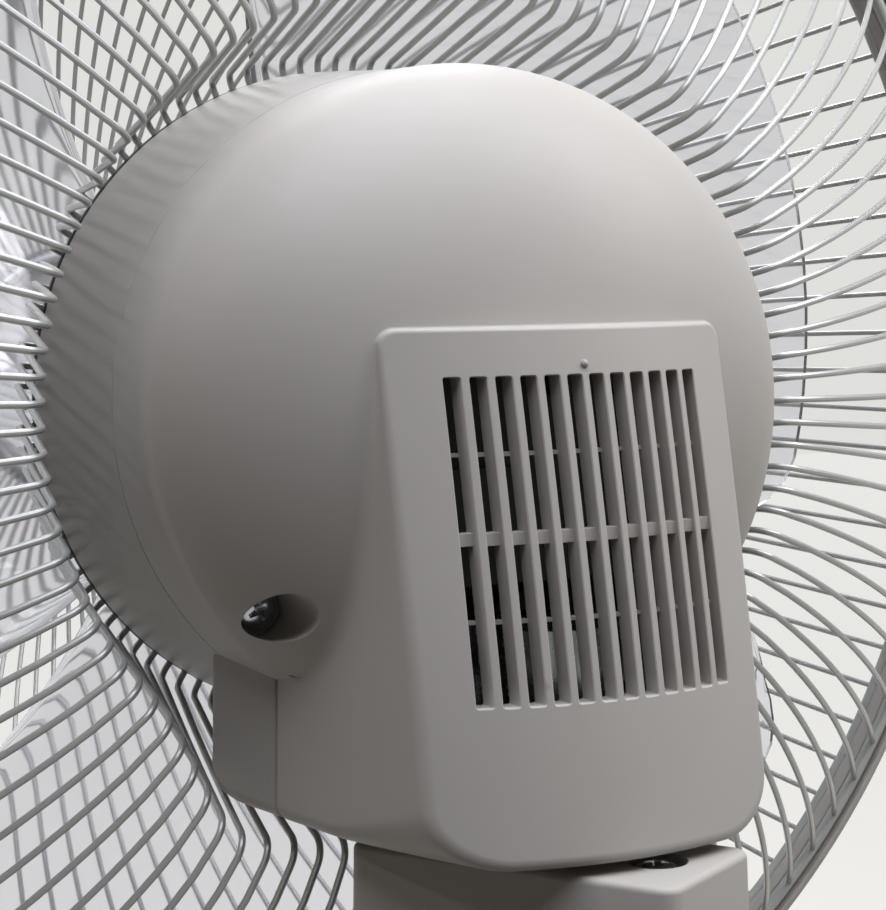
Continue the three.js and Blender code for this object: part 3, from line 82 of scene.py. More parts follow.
class Shell:
    def __init__(self):
        self.points, self.faces, self.tags, self.normals, self.seen = [], [], [], {}, {}

    def point(self, place, normal=None):
        key = tuple(round(c * JOIN_PER_MM) for c in place)
        if key not in self.seen:
            self.seen[key] = len(self.points)
            self.points.append(tuple(place))
        index = self.seen[key]
        if normal is not None:
            self.normals[index] = normal
        return index

    def face(self, indices):
        ring = [i for k, i in enumerate(indices) if i != indices[k - 1]]
        if len(set(ring)) == len(ring) > 2:
            self.faces.append(ring)
            self.tags.append(0)

    def cap(self, ring):
        self.face([self.point(p) for p in ring])

    def rows(self, rows, wrap=False):
        """Skin over lines with as many points each; a line may also be a single point."""
        lines = [[self.point(p) for p in row] for row in rows]
        for low, high in zip(lines, lines[1:]):
            count = max(len(low), len(high))
            for k in range(count if wrap else count - 1):
                after = (k + 1) % count
                self.face([low[k % len(low)], low[after % len(low)], high[after % len(high)], high[k % len(high)]])

    def loose(self, points, faces):
        """Faces over points of their own, numbered from 0, that join no other skin."""
        start = len(self.points)
        self.points.extend(map(tuple, points))
        self.faces.extend([start + i for i in face] for face in faces)
        self.tags.extend([0] * len(faces))

    def tubes(self, tubes, sides):
        """Round wires, each an array of ring points, with both ends closed."""
        for rings in tubes:
            last = len(rings) - sides
            quads = [[k + s, k + (s + 1) % sides, k + sides + (s + 1) % sides, k + sides + s]
                     for k in range(0, last, sides) for s in range(sides)]
            self.loose(rings, quads + [range(sides)[::-1], range(last, last + sides)])


# %% From a shell to a piece
NORMAL_MATCH = 0.8  # an exact normal counts only on faces that lie about that way


def make(name, shell, place, body, replaced, slot, *finishes, sharp=32):
    """Turns a shell into one object that rides on a body and stands for a CAD node."""
    mesh = bpy.data.meshes.new(name)
    mesh.from_pydata([tuple(place @ Vector(p)) for p in shell.points], [], shell.faces)
    for material in finishes:
        mesh.materials.append(material)
    mesh.polygons.foreach_set("material_index", shell.tags)
    work = bmesh.new()
    work.from_mesh(mesh)
    bmesh.ops.recalc_face_normals(work, faces=work.faces)
    work.to_mesh(mesh)
    work.free()
    mesh.shade_smooth()
    mesh.set_sharp_from_angle(angle=radians(sharp))
    if shell.normals:
        turn = place.to_3x3().normalized()
        exact = {i: (turn @ Vector(n)).normalized() for i, n in shell.normals.items()}
        custom = [(0, 0, 0)] * len(mesh.loops)
        for polygon in mesh.polygons:
            for k in polygon.loop_indices:
                n = exact.get(mesh.loops[k].vertex_index)
                if n is not None and abs(n.dot(polygon.normal)) > NORMAL_MATCH:
                    custom[k] = tuple(n if n.dot(polygon.normal) > 0 else -n)
        mesh.normals_split_custom_set(custom)
    made = bpy.data.objects.new(name, mesh)
    bpy.context.collection.objects.link(made)
    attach(made, body)
    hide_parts(replaced)
    print(f"{name}: {len(mesh.vertices)} points, {len(mesh.polygons)} faces on {body}")


# %% Outline helpers
def clamped(value):
    return min(1.0, max(0.0, value))


def spread(low, high, count):
    return [low + (high - low) * k / count for k in range(count + 1)]


def circle(radius, count, centre=(0, 0)):
    return [(centre[0] + radius * cos(2 * pi * k / count),
             centre[1] + radius * sin(2 * pi * k / count)) for k in range(count)]


def rounded(points, radius, steps=4, closed=False):
    """A flat line whose corners are replaced by arcs; radius may be one number or one per corner."""
    out = []
    for i, corner in enumerate(points):
        r = radius[i] if isinstance(radius, (list, tuple)) else radius
        if r <= 0 or (not closed and i in (0, len(points) - 1)):
            out.append(tuple(corner))
            continue
        b, a, c = Vector(corner), Vector(points[i - 1]), Vector(points[(i + 1) % len(points)])
        u, w = (a - b).normalized(), (c - b).normalized()
        half = acos(max(-1, min(1, u.dot(w)))) / 2
        cut = min(r / tan(half), 0.49 * (a - b).length, 0.49 * (c - b).length)
        centre = b + (u + w).normalized() * (cut / cos(half))
        start, end = b + u * cut - centre, b + w * cut - centre
        first = atan2(start.y, start.x)
        swing = (atan2(end.y, end.x) - first + pi) % (2 * pi) - pi
        out += [(centre.x + start.length * cos(first + swing * k / steps),
                 centre.y + start.length * sin(first + swing * k / steps)) for k in range(steps + 1)]
    return out


def box_outline(half_x, half_y, corner, steps, centre):
    cx, cy = centre
    corners = [(cx + half_x, cy - half_y), (cx + half_x, cy + half_y), (cx - half_x, cy + half_y),
               (cx - half_x, cy - half_y)]
    return rounded(corners, corner, steps, closed=True)


def dense(line, step):
    """A closed line with more points, about a step apart."""
    out = []
    for (x, z), (nx, nz) in zip(line, line[1:] + line[:1]):
        parts = max(1, round(hypot(nx - x, nz - z) / step))
        out += [(x + (nx - x) * i / parts, z + (nz - z) * i / parts) for i in range(parts)]
    return out


# %% Skins over outlines
def lifted(line, z, scale=1.0):
    """A flat line laid at a height, made larger or smaller by a scale."""
    return [(x * scale, y * scale, z) for x, y in line]


def turned(shell, profile, axis="y", count=96, centre=(0, 0)):
    """Skin of a turned shape; profile points are (radius, height)."""
    rows = []
    for radius, height in profile:
        flat = circle(radius, count, centre) if radius > 1e-6 else [centre]
        rows.append([(u, height, v) if axis == "y" else (u, v, height) for u, v in flat])
    shell.rows(rows, wrap=True)


# %% [markdown]
# A patch covers one surface with holes in it, such as the face with the grille. Boolean cuts leave long thin
# triangles, so here the outlines are triangulated flat, with even points between them, and then lifted.

# %% Patches
def inside(points, polygon):
    """Which of many flat points lie inside a polygon."""
    x, y = points[:, 0], points[:, 1]
    hit = np.zeros(len(points), bool)
    for (ax, ay), (bx, by) in zip(polygon, polygon[1:] + polygon[:1]):
        if ay != by:
            crosses = (ay > y) != (by > y)
            hit ^= crosses & (x < (bx - ax) * (y - ay) / (by - ay) + ax)
    return hit


def field(xs, ys):
    """Points spread over a rectangle; each side is given as start, stop and step."""
    return [(x, y) for x in np.arange(*xs) for y in np.arange(*ys)]


def level(z):
    return lambda x, y: (x, y, z)


def patch(shell, outer, holes, fill, lift, normal=None, clearance=0.4):
    """Flat outline with holes, filled with points that keep clear of the outlines, and lifted."""
    polygons = [list(outer)] + [list(h) for h in holes]
    flat, edges = [], []
    for polygon in polygons:
        start = len(flat)
        flat += polygon
        edges += [(start + k, start + (k + 1) % len(polygon)) for k in range(len(polygon))]

    def covered(points):
        hit = inside(points, polygons[0])
        for hole in polygons[1:]:
            hit &= ~inside(points, hole)
        return hit

    border, fill = np.array(flat), np.array(fill)
    fill = fill[covered(fill)]
    near = np.array([np.min(np.hypot(*(border - p).T)) for p in fill])
    flat += [tuple(p) for p in fill[near > clearance]]
    points, _, triangles, *_ = geometry.delaunay_2d_cdt([Vector(p) for p in flat], edges, [], 0, 1e-6)
    points = np.array([tuple(p) for p in points])
    middles = np.array([points[list(t)].mean(axis=0) for t in triangles])
    index = {}
    for triangle, kept in zip(triangles, covered(middles)):
        if kept:
            for i in triangle:
                if i not in index:
                    index[i] = shell.point(lift(*points[i]), normal(*points[i]) if normal else None)
            shell.face([index[i] for i in triangle])


# %% [markdown]
# ## Finishes
# Each finish starts from the real material: a colour close to the photo's, its usual roughness and index of
# refraction, and an unevenness at the scale that the process leaves (mould grain, orange peel, drawn lines).
# Noise in the object's own millimetres needs no unwrapping and has the same scale on every piece. `node` adds
# one shader node with its settings and links.

# %% Shader helpers
RELIEF_STRENGTH = 0.35
GLOSS_SCALE = 0.3  # size of the patches of uneven gloss, as a share of the clouds'
COLOUR_A, COLOUR_B, COLOUR_OUT = 6, 7, 2  # the Mix node's colour sockets


def linear(code):
    """sRGB hex to the linear colour that shaders use."""
    parts = [int(code[i:i + 2], 16) / 255 for i in (1, 3, 5)]
    return tuple(c / 12.92 if c <= 0.04045 else ((c + 0.055) / 1.055) ** 2.4 for c in parts) + (1.0,)


def node(tree, kind, values=None, links=None, **settings):
    """Adds a shader node; values set sockets, links join sockets to other nodes' outputs."""
    made = tree.nodes.new(kind)
    for key, value in settings.items():
        setattr(made, key, value)
    for key, value in (values or {}).items():
        made.inputs[key].default_value = value
    for key, (other, socket) in (links or {}).items():
        tree.links.new(other.outputs[socket], made.inputs[key])
    return made


def noise_at(tree, size_mm, detail=3.0, stretch=None):
    """Noise whose features measure about size_mm."""
    source = (node(tree, "ShaderNodeTexCoord"), "Object")
    if stretch:
        source = (node(tree, "ShaderNodeMapping", {"Scale": stretch}, {"Vector": source}), "Vector")
    values = {"Scale": 1 / (size_mm * MM), "Detail": detail}
    return node(tree, "ShaderNodeTexNoise", values, {"Vector": source})


def finish(name, colour, second, roughness, ior=1.5, metallic=0.0, cloud_mm=25.0, grain_mm=0.25, grain=0.02,
           uneven=0.06, stretch=None, clear=0.0, specular=0.5):
    """A finish with two close colours in soft clouds, an uneven roughness and a fine relief."""
    made = bpy.data.materials.new(name)
    made.use_nodes = True
    tree = made.node_tree
    shader = tree.nodes["Principled BSDF"]
    for key, value in {"IOR": ior, "Metallic": metallic, "Transmission Weight": clear,
                       "Specular IOR Level": specular}.items():
        shader.inputs[key].default_value = value
    clouds = node(tree, "ShaderNodeMix", {COLOUR_A: linear(colour), COLOUR_B: linear(second)},
                  {"Factor": (noise_at(tree, cloud_mm), "Fac")}, data_type="RGBA")
    tree.links.new(clouds.outputs[COLOUR_OUT], shader.inputs["Base Color"])
    gloss = node(tree, "ShaderNodeMapRange", {"To Min": roughness - uneven, "To Max": roughness + uneven},
                 {"Value": (noise_at(tree, cloud_mm * GLOSS_SCALE, stretch=stretch), "Fac")})
    tree.links.new(gloss.outputs["Result"], shader.inputs["Roughness"])
    relief = node(tree, "ShaderNodeBump", {"Strength": RELIEF_STRENGTH, "Distance": grain * MM},
                  {"Height": (noise_at(tree, grain_mm, 2.0, stretch), "Fac")})
    tree.links.new(relief.outputs["Normal"], shader.inputs["Normal"])
    return made


# %% Plastics and paints of the fan
# ABS from a spark-eroded mould: an even satin skin, whose fine texture takes much of the gloss
pod_abs = finish("moulded_abs_warm_grey", "#ACA7A2", "#A6A19B", 0.46, ior=1.53, grain_mm=0.3, grain=0.012,
                 specular=0.25)
# the same plastic in dark grey: the satin shows as a soft sheen on rounded edges
dark_abs = finish("moulded_abs_dark", "#3A3836", "#32302F", 0.48, ior=1.53)
# moulded polypropylene, black and dull: painted shade, standing in for the dark gap between the pod and the wires
# and for the dark inside behind the grille
black_pp_painted_shade = finish("moulded_pp_black_painted_shade", "#161514", "#1C1B1A", 0.55)
# steel wire in baked silver-grey paint: smooth, with a bright line along each wire
wire_paint = finish("silver_grey_wire_paint", "#A9AAA8", "#A3A4A1", 0.3, metallic=0.3, cloud_mm=14,
                    grain_mm=0.6, grain=0.001, uneven=0.03)
# powder coat on steel tube: its orange peel breaks up the highlight
pole_paint = finish("powder_coat_warm_grey", "#A8A39D", "#A29D97", 0.38, grain_mm=0.8, grain=0.02)
# clear moulded styrene with a smoky tint: shows by its edges, and bends what is behind it a little
blade_clear = finish("clear_smoky_styrene", "#F1F1F6", "#EBEBF2", 0.05, cloud_mm=40, grain_mm=12,
                     grain=0.004, uneven=0.02, clear=0.96)
# moulded nylon without pigment: milky and satin
nylon = finish("nylon_natural", "#E6E2D8", "#DDD8CB", 0.45, ior=1.53, cloud_mm=12)
# glass fibre board under solder mask: green with a fine weave
circuit = finish("circuit_board_green", "#2C5A3A", "#234A30", 0.5, cloud_mm=3, grain_mm=1.0, grain=0.05)
# moulded rubber: dull and nearly black
rubber = finish("rubber_black", "#222222", "#2A2A29", 0.85, ior=1.52, grain_mm=0.4, grain=0.04)

# %% Metals of the fan
# barrel-plated zinc: bright, slightly cloudy
steel = finish("zinc_plated_steel", "#B9BCC0", "#A9ACB0", 0.26, metallic=1.0, cloud_mm=3, grain_mm=0.15,
               grain=0.01)
# drawn, polished and chromed tube: mirrors, with faint lines along its length
chrome = finish("chromed_tube", "#D2D4D6", "#CCCED0", 0.12, metallic=1.0, uneven=0.03, grain=0.003,
                stretch=(1, 1, 0.05))
# cast iron as it leaves the sand: dark and rough
iron = finish("cast_iron", "#4B4B4D", "#3E3E40", 0.68, metallic=0.7, cloud_mm=6, grain_mm=0.8, grain=0.1)
# enamelled copper wire: a warm brown metal with a wound grain
windings = finish("enamelled_copper", "#A8643A", "#8C4F2C", 0.35, metallic=0.8, cloud_mm=1.2, grain_mm=0.5,
                  grain=0.1)
print("finishes:", len(bpy.data.materials))

# %% [markdown]
# ## Pod: the surfaces of its mould
# The pod is a drum (band) that narrows a little towards the rear, closed by a full dome. A slightly crowned
# hump stands out of the dome and carries the grille. Bevelled solids would crease at the wide blends, so each
# surface is a small formula, and faces are laid on it.

# %% Surfaces of the pod
BAND_RADIUS, CREASE_RADIUS, BAND_DEPTH, DOME_DEPTH = 70.0, 66.7, 41.3, 57.7
DOME_FULLNESS, DOME_ROUNDNESS = 1.91, 3.52 # powers of the dome's curve
STRIP_RADIUS = 65.95  # a straight strip runs from here to the crease
FACE_DEPTH, FACE_LEAN, FACE_BEND, FACE_CROWN = 106.2, 0.213, 0.000376, 0.00776
HUMP_TOP, HUMP_BOTTOM, HUMP_HALF, HUMP_TAPER = 15.5, -77.3, 35.3, 0.1655
SEAM = 62.0  # parting plane of the lower body
COVER_WALL = 2.4


def face_y(x, z):
    return FACE_DEPTH - FACE_LEAN * z - FACE_BEND * z * z - FACE_CROWN * x * x


def face_normal(x, z):
    return Vector((2 * FACE_CROWN * x, 1.0, FACE_LEAN + 2 * FACE_BEND * z)).normalized()


def half_width(y, z):
    return HUMP_HALF + HUMP_TAPER * (face_y(HUMP_HALF, z) - y)


def full_dome_y(r):
    return BAND_DEPTH + DOME_DEPTH * (1 - clamped(r / CREASE_RADIUS) ** DOME_FULLNESS) ** (1 / DOME_ROUNDNESS)


STRIP_SLOPE = (full_dome_y(STRIP_RADIUS) - BAND_DEPTH) / (CREASE_RADIUS - STRIP_RADIUS)


def dome_y(r):
    """The dome, with a straight strip at its foot between the crease and a second, softer line."""
    if r <= STRIP_RADIUS:
        return full_dome_y(r)
    return BAND_DEPTH + (CREASE_RADIUS - min(r, CREASE_RADIUS)) * STRIP_SLOPE


def dome_slope(r):
    """How fast the dome falls for each millimetre away from its axis."""
    if r > STRIP_RADIUS:
        return STRIP_SLOPE
    share = max(r / CREASE_RADIUS, 1e-6)
    steep = (1 - share ** DOME_FULLNESS) ** (1 / DOME_ROUNDNESS - 1) * share ** (DOME_FULLNESS - 1)
    return DOME_DEPTH / DOME_ROUNDNESS * DOME_FULLNESS * steep / CREASE_RADIUS


def dome_normal(x, z):
    r = max(hypot(x, z), 1e-6)
    slope = dome_slope(r)
    return Vector((slope * x / r, 1.0, slope * z / r)).normalized()


# %% [markdown]
# From the rear the hump is a rounded rectangle. Its walls widen towards the front, so an outline point moves
# outwards with depth: `spot` gives a wall point at a depth, `root` the depth at which the wall meets the dome.

# %% Outline of the hump
CORNER_TOP, CORNER_REAR, CORNER_FRONT = 3.0, 13.0, 3.5  # upper corners; lower ones at the face, at the front
CORNER_FROM, CORNER_RUN = 80.0, 36.0  # the lower corners widen from this depth on, over this depth
MIDDLE_Z = -30.0  # walls below this height follow the lower corners
corners = [(HUMP_HALF, HUMP_BOTTOM), (HUMP_HALF, HUMP_TOP), (-HUMP_HALF, HUMP_TOP), (-HUMP_HALF, HUMP_BOTTOM)]
corner_sizes = [CORNER_REAR, CORNER_TOP, CORNER_TOP, CORNER_REAR]
OUTLINE = dense(rounded(corners, corner_sizes, 14, closed=True), 2.2)
COUNT = len(OUTLINE)


def spot(k, y):
    """Wall point of outline sample k at depth y. The lower corners get tighter towards the front."""
    x0, z = OUTLINE[k % COUNT]
    corner = kept = CORNER_TOP
    if z < MIDDLE_Z:
        corner = CORNER_REAR
        kept = CORNER_FRONT + (CORNER_REAR - CORNER_FRONT) * clamped((y - CORNER_FROM) / CORNER_RUN) ** 1.2
        start = HUMP_BOTTOM + corner
        if z < start:
            z = HUMP_BOTTOM + kept - kept * (start - z) / corner
        else:
            z = MIDDLE_Z + (z - MIDDLE_Z) * (HUMP_BOTTOM + kept - MIDDLE_Z) / (start - MIDDLE_Z)
    wide = half_width(y, z)
    beyond = abs(x0) - (HUMP_HALF - corner)
    if beyond > -1e-6:
        x = copysign(wide - kept + kept * beyond / corner, x0)
    else:
        x = x0 * (wide - kept) / (HUMP_HALF - corner)
    return Vector((x, y, z))


def edge_y(k):
    """Depth at which the wall of sample k reaches the rear face."""
    y = face_y(*OUTLINE[k])
    for _ in range(6):
        p = spot(k, y)
        y = face_y(p.x, p.z)
    return y


def root(k):
    """Depth at which the wall of sample k meets the dome; None where it runs past it."""
    def above(y):
        p = spot(k, y)
        r = hypot(p.x, p.z)
        return r >= CREASE_RADIUS or y > dome_y(r)

    low, high = SEAM, edge_y(k)
    if above(low):
        return None
    for _ in range(40):
        middle = (low + high) / 2
        low, high = (low, middle) if above(middle) else (middle, high)
    return high


EDGE = [edge_y(k) for k in range(COUNT)]
ROOT = [root(k) for k in range(COUNT)]
first_on_dome = next(k for k in range(COUNT) if ROOT[k] is not None and ROOT[k - 1] is None)
DOME_RUN = [(first_on_dome + i) % COUNT for i in range(COUNT - ROOT.count(None))]
print("outline samples:", COUNT, "of which on the dome:", len(DOME_RUN),
      "step at top centre:", round(min(EDGE[k] - ROOT[k] for k in DOME_RUN), 2), "mm")

# %% [markdown]
# The grille: twelve upright slots through the 4.2 mm wall, each split by a set-back cross rib at mid height
# and by two thin ribs deep inside. The slots are holes of the rear face's patch, with a small chamfer that
# catches the light as the real edge does.

# %% Rear face of the hump with the grille's slots
SLOTS, SLOT_PITCH, SLOT_WIDTH, SLOT_TOP, SLOT_BOTTOM, SLOT_DEPTH = 12, 4.42, 2.9, 7.0, -49.5, 4.2
SLOT_CORNER, CHAMFER = 0.35, 0.22
EDGE_TOP, EDGE_SIDE, EDGE_GROWTH = 0.7, 0.75, 1.5  # rounding of the face's edge: top, sides, growth


def bezier(a, b, c, steps):
    return [a * (1 - t) ** 2 + b * (2 * t * (1 - t)) + c * t * t for t in spread(0, 1, steps)]


def fillet_size(k):
    """Rounding between the rear face and the walls: tight at the top, wider at the sides' lower part."""
    z = OUTLINE[k][1]
    return EDGE_SIDE + EDGE_GROWTH * clamped((8 - z) / 80) ** 0.8 if z < HUMP_TOP - 0.5 else EDGE_TOP


def outward(k, y_behind, y_ahead):
    """Level direction straight out of the wall at sample k."""
    behind, ahead = spot(k - 1, y_behind), spot(k + 1, y_ahead)
    return Vector((ahead.z - behind.z, 0, behind.x - ahead.x)).normalized()


def inward(k, amount):
    """Outline sample k moved inwards on the rear face."""
    edge, out = spot(k, EDGE[k]), outward(k, EDGE[k - 1], EDGE[(k + 1) % COUNT])
    x, z = edge.x - out.x * amount, edge.z - out.z * amount
    return Vector((x, face_y(x, z), z))


def slot_outline(x, grow):
    half, low, high = SLOT_WIDTH / 2 + grow, SLOT_BOTTOM - grow, SLOT_TOP + grow
    corners = [(x - half, low), (x + half, low), (x + half, high), (x - half, high)]
    return dense(rounded(corners, SLOT_CORNER + grow, 2, closed=True), 3)


pod = Shell()
face_line = [inward(k, fillet_size(k)) for k in range(COUNT)]
slots = [-SLOT_PITCH * (SLOTS - 1) / 2 + SLOT_PITCH * i for i in range(SLOTS)]
patch(pod, [(p.x, p.z) for p in face_line], [slot_outline(x, CHAMFER) for x in slots],
      field((-34.5, 34.6, 2.3), (-75, 15, 2.3)), lambda x, z: (x, face_y(x, z), z), face_normal, clearance=1.0)
for x in slots:
    pod.rows([[(u, face_y(u, v) - deep, v) for u, v in slot_outline(x, grow)] for grow, deep in
              ((CHAMFER, 0), (0, CHAMFER), (0, SLOT_DEPTH / 2), (0, SLOT_DEPTH))], wrap=True)
print("slots:", len(slots), "points of the face's edge:", len(face_line))

# %% Cross ribs in the slots
RIBS = ((-21.0, 2.2, 1.3, 3.9), (-6.6, 0.7, 3.6, 4.8), (-35.5, 0.7, 3.6, 4.8))  # height, width, front, back
RIB_HALF = SLOT_WIDTH / 2 + 0.05
BOX_FACES = (0, 3, 2, 1), (4, 5, 6, 7), (0, 1, 5, 4), (1, 2, 6, 5), (2, 3, 7, 6), (3, 0, 4, 7)


def block(shell, low, high):
    (x0, y0, z0), (x1, y1, z1) = low, high
    shell.loose([(x, y, z) for z in (z0, z1) for x, y in ((x0, y0), (x1, y0), (x1, y1), (x0, y1))], BOX_FACES)


for x in slots:
    for middle, width, back, depth in RIBS:
        y = face_y(x, middle)
        block(pod, (x - RIB_HALF, y - depth, middle - width / 2), (x + RIB_HALF, y - back, middle + width / 2))

# %% [markdown]
# Rounded edge round the rear face, the side walls, and the soft blend (fillet) where they meet the dome. A
# bevel keeps one radius, but these grow downwards, so each strip is a row of small curves. Below the dome the
# walls end at the parting line, with a small fold inwards.

# %% Edges, walls and blend of the hump
BLEND_TOP, BLEND_GROWTH, BLEND_FALL, BLEND_SHARE = 0.6, 3.0, 60.0, 0.42
FADE_LEFT, FADE_RUN = 0.05, 9.0  # the blend dies away over the last millimetres above the seam
FOLDS = ((0.35, -0.1), (COVER_WALL, -0.1), (COVER_WALL, 14))  # inwards, backwards


def blend_size(k):
    """Fillet at the foot of the wall: small where the step is low, wide down the sides, least at the seam."""
    down = clamped((HUMP_TOP - OUTLINE[k][1]) / BLEND_FALL)
    fade = min(1.0, FADE_LEFT + (ROOT[k] - SEAM) / FADE_RUN)
    return min(BLEND_TOP + BLEND_GROWTH * down, BLEND_SHARE * (EDGE[k] - ROOT[k])) * fade


def dome_spot(k):
    """Where the blend of sample k leaves the dome."""
    foot, size = spot(k, ROOT[k]), blend_size(k)
    out = outward(k, foot.y, foot.y)
    low, high = 0.0, size
    for _ in range(20):
        reach = (low + high) / 2
        x, z = foot.x + out.x * reach, foot.z + out.z * reach
        p = Vector((x, dome_y(hypot(x, z)), z))
        low, high = (reach, high) if (p - foot).length < size else (low, reach)
    return p


wall_rows, fillet_rows = [], []
for k in [*range(COUNT), 0]:
    top = EDGE[k] - fillet_size(k)
    end = SEAM if ROOT[k] is None else ROOT[k] + blend_size(k)
    fillet_rows.append(bezier(face_line[k], spot(k, EDGE[k]), spot(k, top), 5))
    wall_rows.append([spot(k, y) for y in spread(top, end, 8)])
pod.rows(fillet_rows)
pod.rows(wall_rows)
for end, below in ((DOME_RUN[0], DOME_RUN[0] - 1), (DOME_RUN[-1], DOME_RUN[-1] + 1)):
    pod.cap([spot(end, ROOT[end] + blend_size(end)), spot(end, SEAM), spot(below, SEAM)])
for p in face_line:
    pod.point(p, face_normal(p.x, p.z))

blend_rows = [bezier(spot(k, ROOT[k] + blend_size(k)), spot(k, ROOT[k]), dome_spot(k), 6) for k in DOME_RUN]
dome_line = [row[-1] for row in blend_rows]
pod.rows(blend_rows)

seam_rows = []
for k in sorted((k for k in range(COUNT) if ROOT[k] is None), key=lambda k: (k - DOME_RUN[-1]) % COUNT):
    p, out = spot(k, SEAM), outward(k, SEAM, SEAM)
    seam_rows.append([p] + [p - out * far + Vector((0, back, 0)) for far, back in FOLDS])
pod.rows(seam_rows)
print("points of the pod so far:", len(pod.points))

# %% [markdown]
# The dome is one patch too. It is laid flat by unrolling each meridian to its true length, so the triangles
# stay even on the steep flank. Its holes are the foot of the hump and the two screw recesses.

# %% Dome, unrolled
SCREW_X, SCREW_Z, RECESS_RADIUS, RECESS_FLOOR, LIP = 47.3, -36.3, 4.9, 62.4, 0.35
STEEP_FROM, AROUND, EVEN = 60.0, 180, 2.4  # finer table from this radius on; points round and between rings
radii = np.concatenate([np.linspace(0, STEEP_FROM, 241)[:-1], np.linspace(STEEP_FROM, STRIP_RADIUS, 400),
                        [CREASE_RADIUS]])
heights = np.array([dome_y(r) for r in radii])
lengths = np.concatenate([[0], np.cumsum(np.hypot(np.diff(radii), np.diff(heights)))])
FLANK = float(lengths[-1])


def unroll(x, z):
    r = hypot(x, z)
    far = float(np.interp(r, radii, lengths))
    return (x * far / max(r, 1e-9), z * far / max(r, 1e-9))


def roll(u, v):
    far = hypot(u, v)
    r = float(np.interp(far, lengths, radii))
    return (u * r / max(far, 1e-9), v * r / max(far, 1e-9))


def dome_lift(u, v):
    x, z = roll(u, v)
    return (x, float(np.interp(hypot(u, v), lengths, heights)), z)


recesses = [circle(RECESS_RADIUS + LIP, 48, (side * SCREW_X, SCREW_Z)) for side in (1, -1)]
dome_fill = []
for far in np.arange(0.0, FLANK - 0.5, EVEN):
    dome_fill += circle(far, max(1, min(AROUND, round(2 * pi * far / EVEN))))
crease_ring = circle(FLANK, AROUND)
holes = [[unroll(p.x, p.z) for p in dome_line]] + [[unroll(*p) for p in ring] for ring in recesses]
patch(pod, crease_ring, holes, dome_fill, dome_lift, lambda u, v: dome_normal(*roll(u, v)), clearance=1.1)
print("length of a meridian:", round(FLANK, 2), "mm")

# %% Crease, band and front edge of the pod
GROOVE = 0.22  # fine line where the mould halves part
band = [(CREASE_RADIUS - GROOVE, BAND_DEPTH - GROOVE), (CREASE_RADIUS + 0.05, BAND_DEPTH - 2 * GROOVE)]
band += [(CREASE_RADIUS + (BAND_RADIUS - CREASE_RADIUS) * (BAND_DEPTH - y) / BAND_DEPTH, y)
         for y in (38.0, 30.0, 20.0, 10.0, 1.2)]
band += [(BAND_RADIUS - 0.15, 0.5), (BAND_RADIUS - 0.6, 0.3), (BAND_RADIUS - COVER_WALL, 0.3),
         (BAND_RADIUS - COVER_WALL - 0.3, 12.0)]
crease_points = [dome_lift(*p) for p in crease_ring]
pod.rows([crease_points] + [[(x * radius / CREASE_RADIUS, y, z * radius / CREASE_RADIUS)
                             for x, _, z in crease_points] for radius, y in band], wrap=True)

# %% Screw recesses
for side, ring in zip((1, -1), recesses):
    centre = Vector((side * SCREW_X, 0, SCREW_Z))
    lip_rows = []
    for x, z in ring:
        mouth = Vector((x, dome_y(hypot(x, z)), z))
        bore = centre + (Vector((x, 0, z)) - centre).normalized() * RECESS_RADIUS
        corner = Vector((bore.x, dome_y(hypot(bore.x, bore.z)), bore.z))
        lip_rows.append(bezier(mouth, corner, corner - Vector((0, LIP, 0)), 3)
                        + [Vector((bore.x, y, bore.z)) for y in spread(corner.y - LIP, RECESS_FLOOR, 5)[1:]])
    pod.rows(lip_rows + lip_rows[:1])
    pod.cap([row[-1] for row in lip_rows])

# %% Small nub over the grille, left by the mould's gate
NUB_Z = 8.9
nub_profile = [(r, face_y(0, NUB_Z) + h) for r, h in ((0.75, -0.2), (0.7, 0.3), (0.45, 0.55), (0.0, 0.62))]
turned(pod, nub_profile, count=16, centre=(0, NUB_Z))
make("pod_rear_cover", pod, HEAD, "head", "rear_cover", "pod_plastic", pod_abs, sharp=38)

# %% [markdown]
# ## Lower front cover
# The front half of the lower body. It meets the rear cover at the upright parting line beside the pod, has a
# flat front wall under the band, and a large rounding below it. It is skinned over slices of the hump's
# outline, so the two halves meet in one line.

# %% Lower front cover
LOWER_FRONT, LOWER_NOSE, LOWER_SIDE_ROUND, SEAM_GAP, SOFT = 37.0, 12.0, 1.6, 1.0, 0.5
SIDES_TOP = -34.0  # the cover's walls start at this height
SLICES = (20, 18, 16, 14, 12, 10, 8, 6.4, 5, 3.8, 2.8, 1.9, 1.2, 0.6, 0.2, 0)  # behind its front


def drawn_back(distance, radius):
    """How far a rounding of a radius has drawn back at a distance from its end."""
    return radius - sqrt(max(radius ** 2 - max(radius - distance, 0) ** 2, 0))


lower = Shell()
under = [k for k in range(COUNT) if OUTLINE[k][1] < SIDES_TOP]
under.sort(key=lambda k: (k - DOME_RUN[-1] + 12) % COUNT)
lower_rows = []
for n, y in enumerate([SEAM - SEAM_GAP + 0.05, SEAM - SEAM_GAP - 0.2] + [LOWER_FRONT + d for d in SLICES]):
    floor_z = HUMP_BOTTOM + drawn_back(y - LOWER_FRONT, LOWER_NOSE)
    narrow = drawn_back(y - LOWER_FRONT, LOWER_SIDE_ROUND)
    fold = 0.3 if n == 0 else 0.0
    row = []
    for k in under:
        p = spot(k, y)
        squeeze = 1 - (narrow + fold) / half_width(y, p.z)
        above = p.z - floor_z
        row.append((p.x * squeeze, y, floor_z + (above + sqrt(above ** 2 + SOFT ** 2)) / 2 + fold))
    lower_rows.append(row)
lower.rows(lower_rows)
lower.cap(lower_rows[-1])
inner = [(x * 0.95, y, z + 2.0) for x, y, z in lower_rows[0]]
lower.rows([lower_rows[0], inner, [(x, y - 14, z) for x, y, z in inner]])
make("pod_lower_front_cover", lower, HEAD, "head", "lower_front_cover", "pod_plastic", pod_abs, sharp=38)

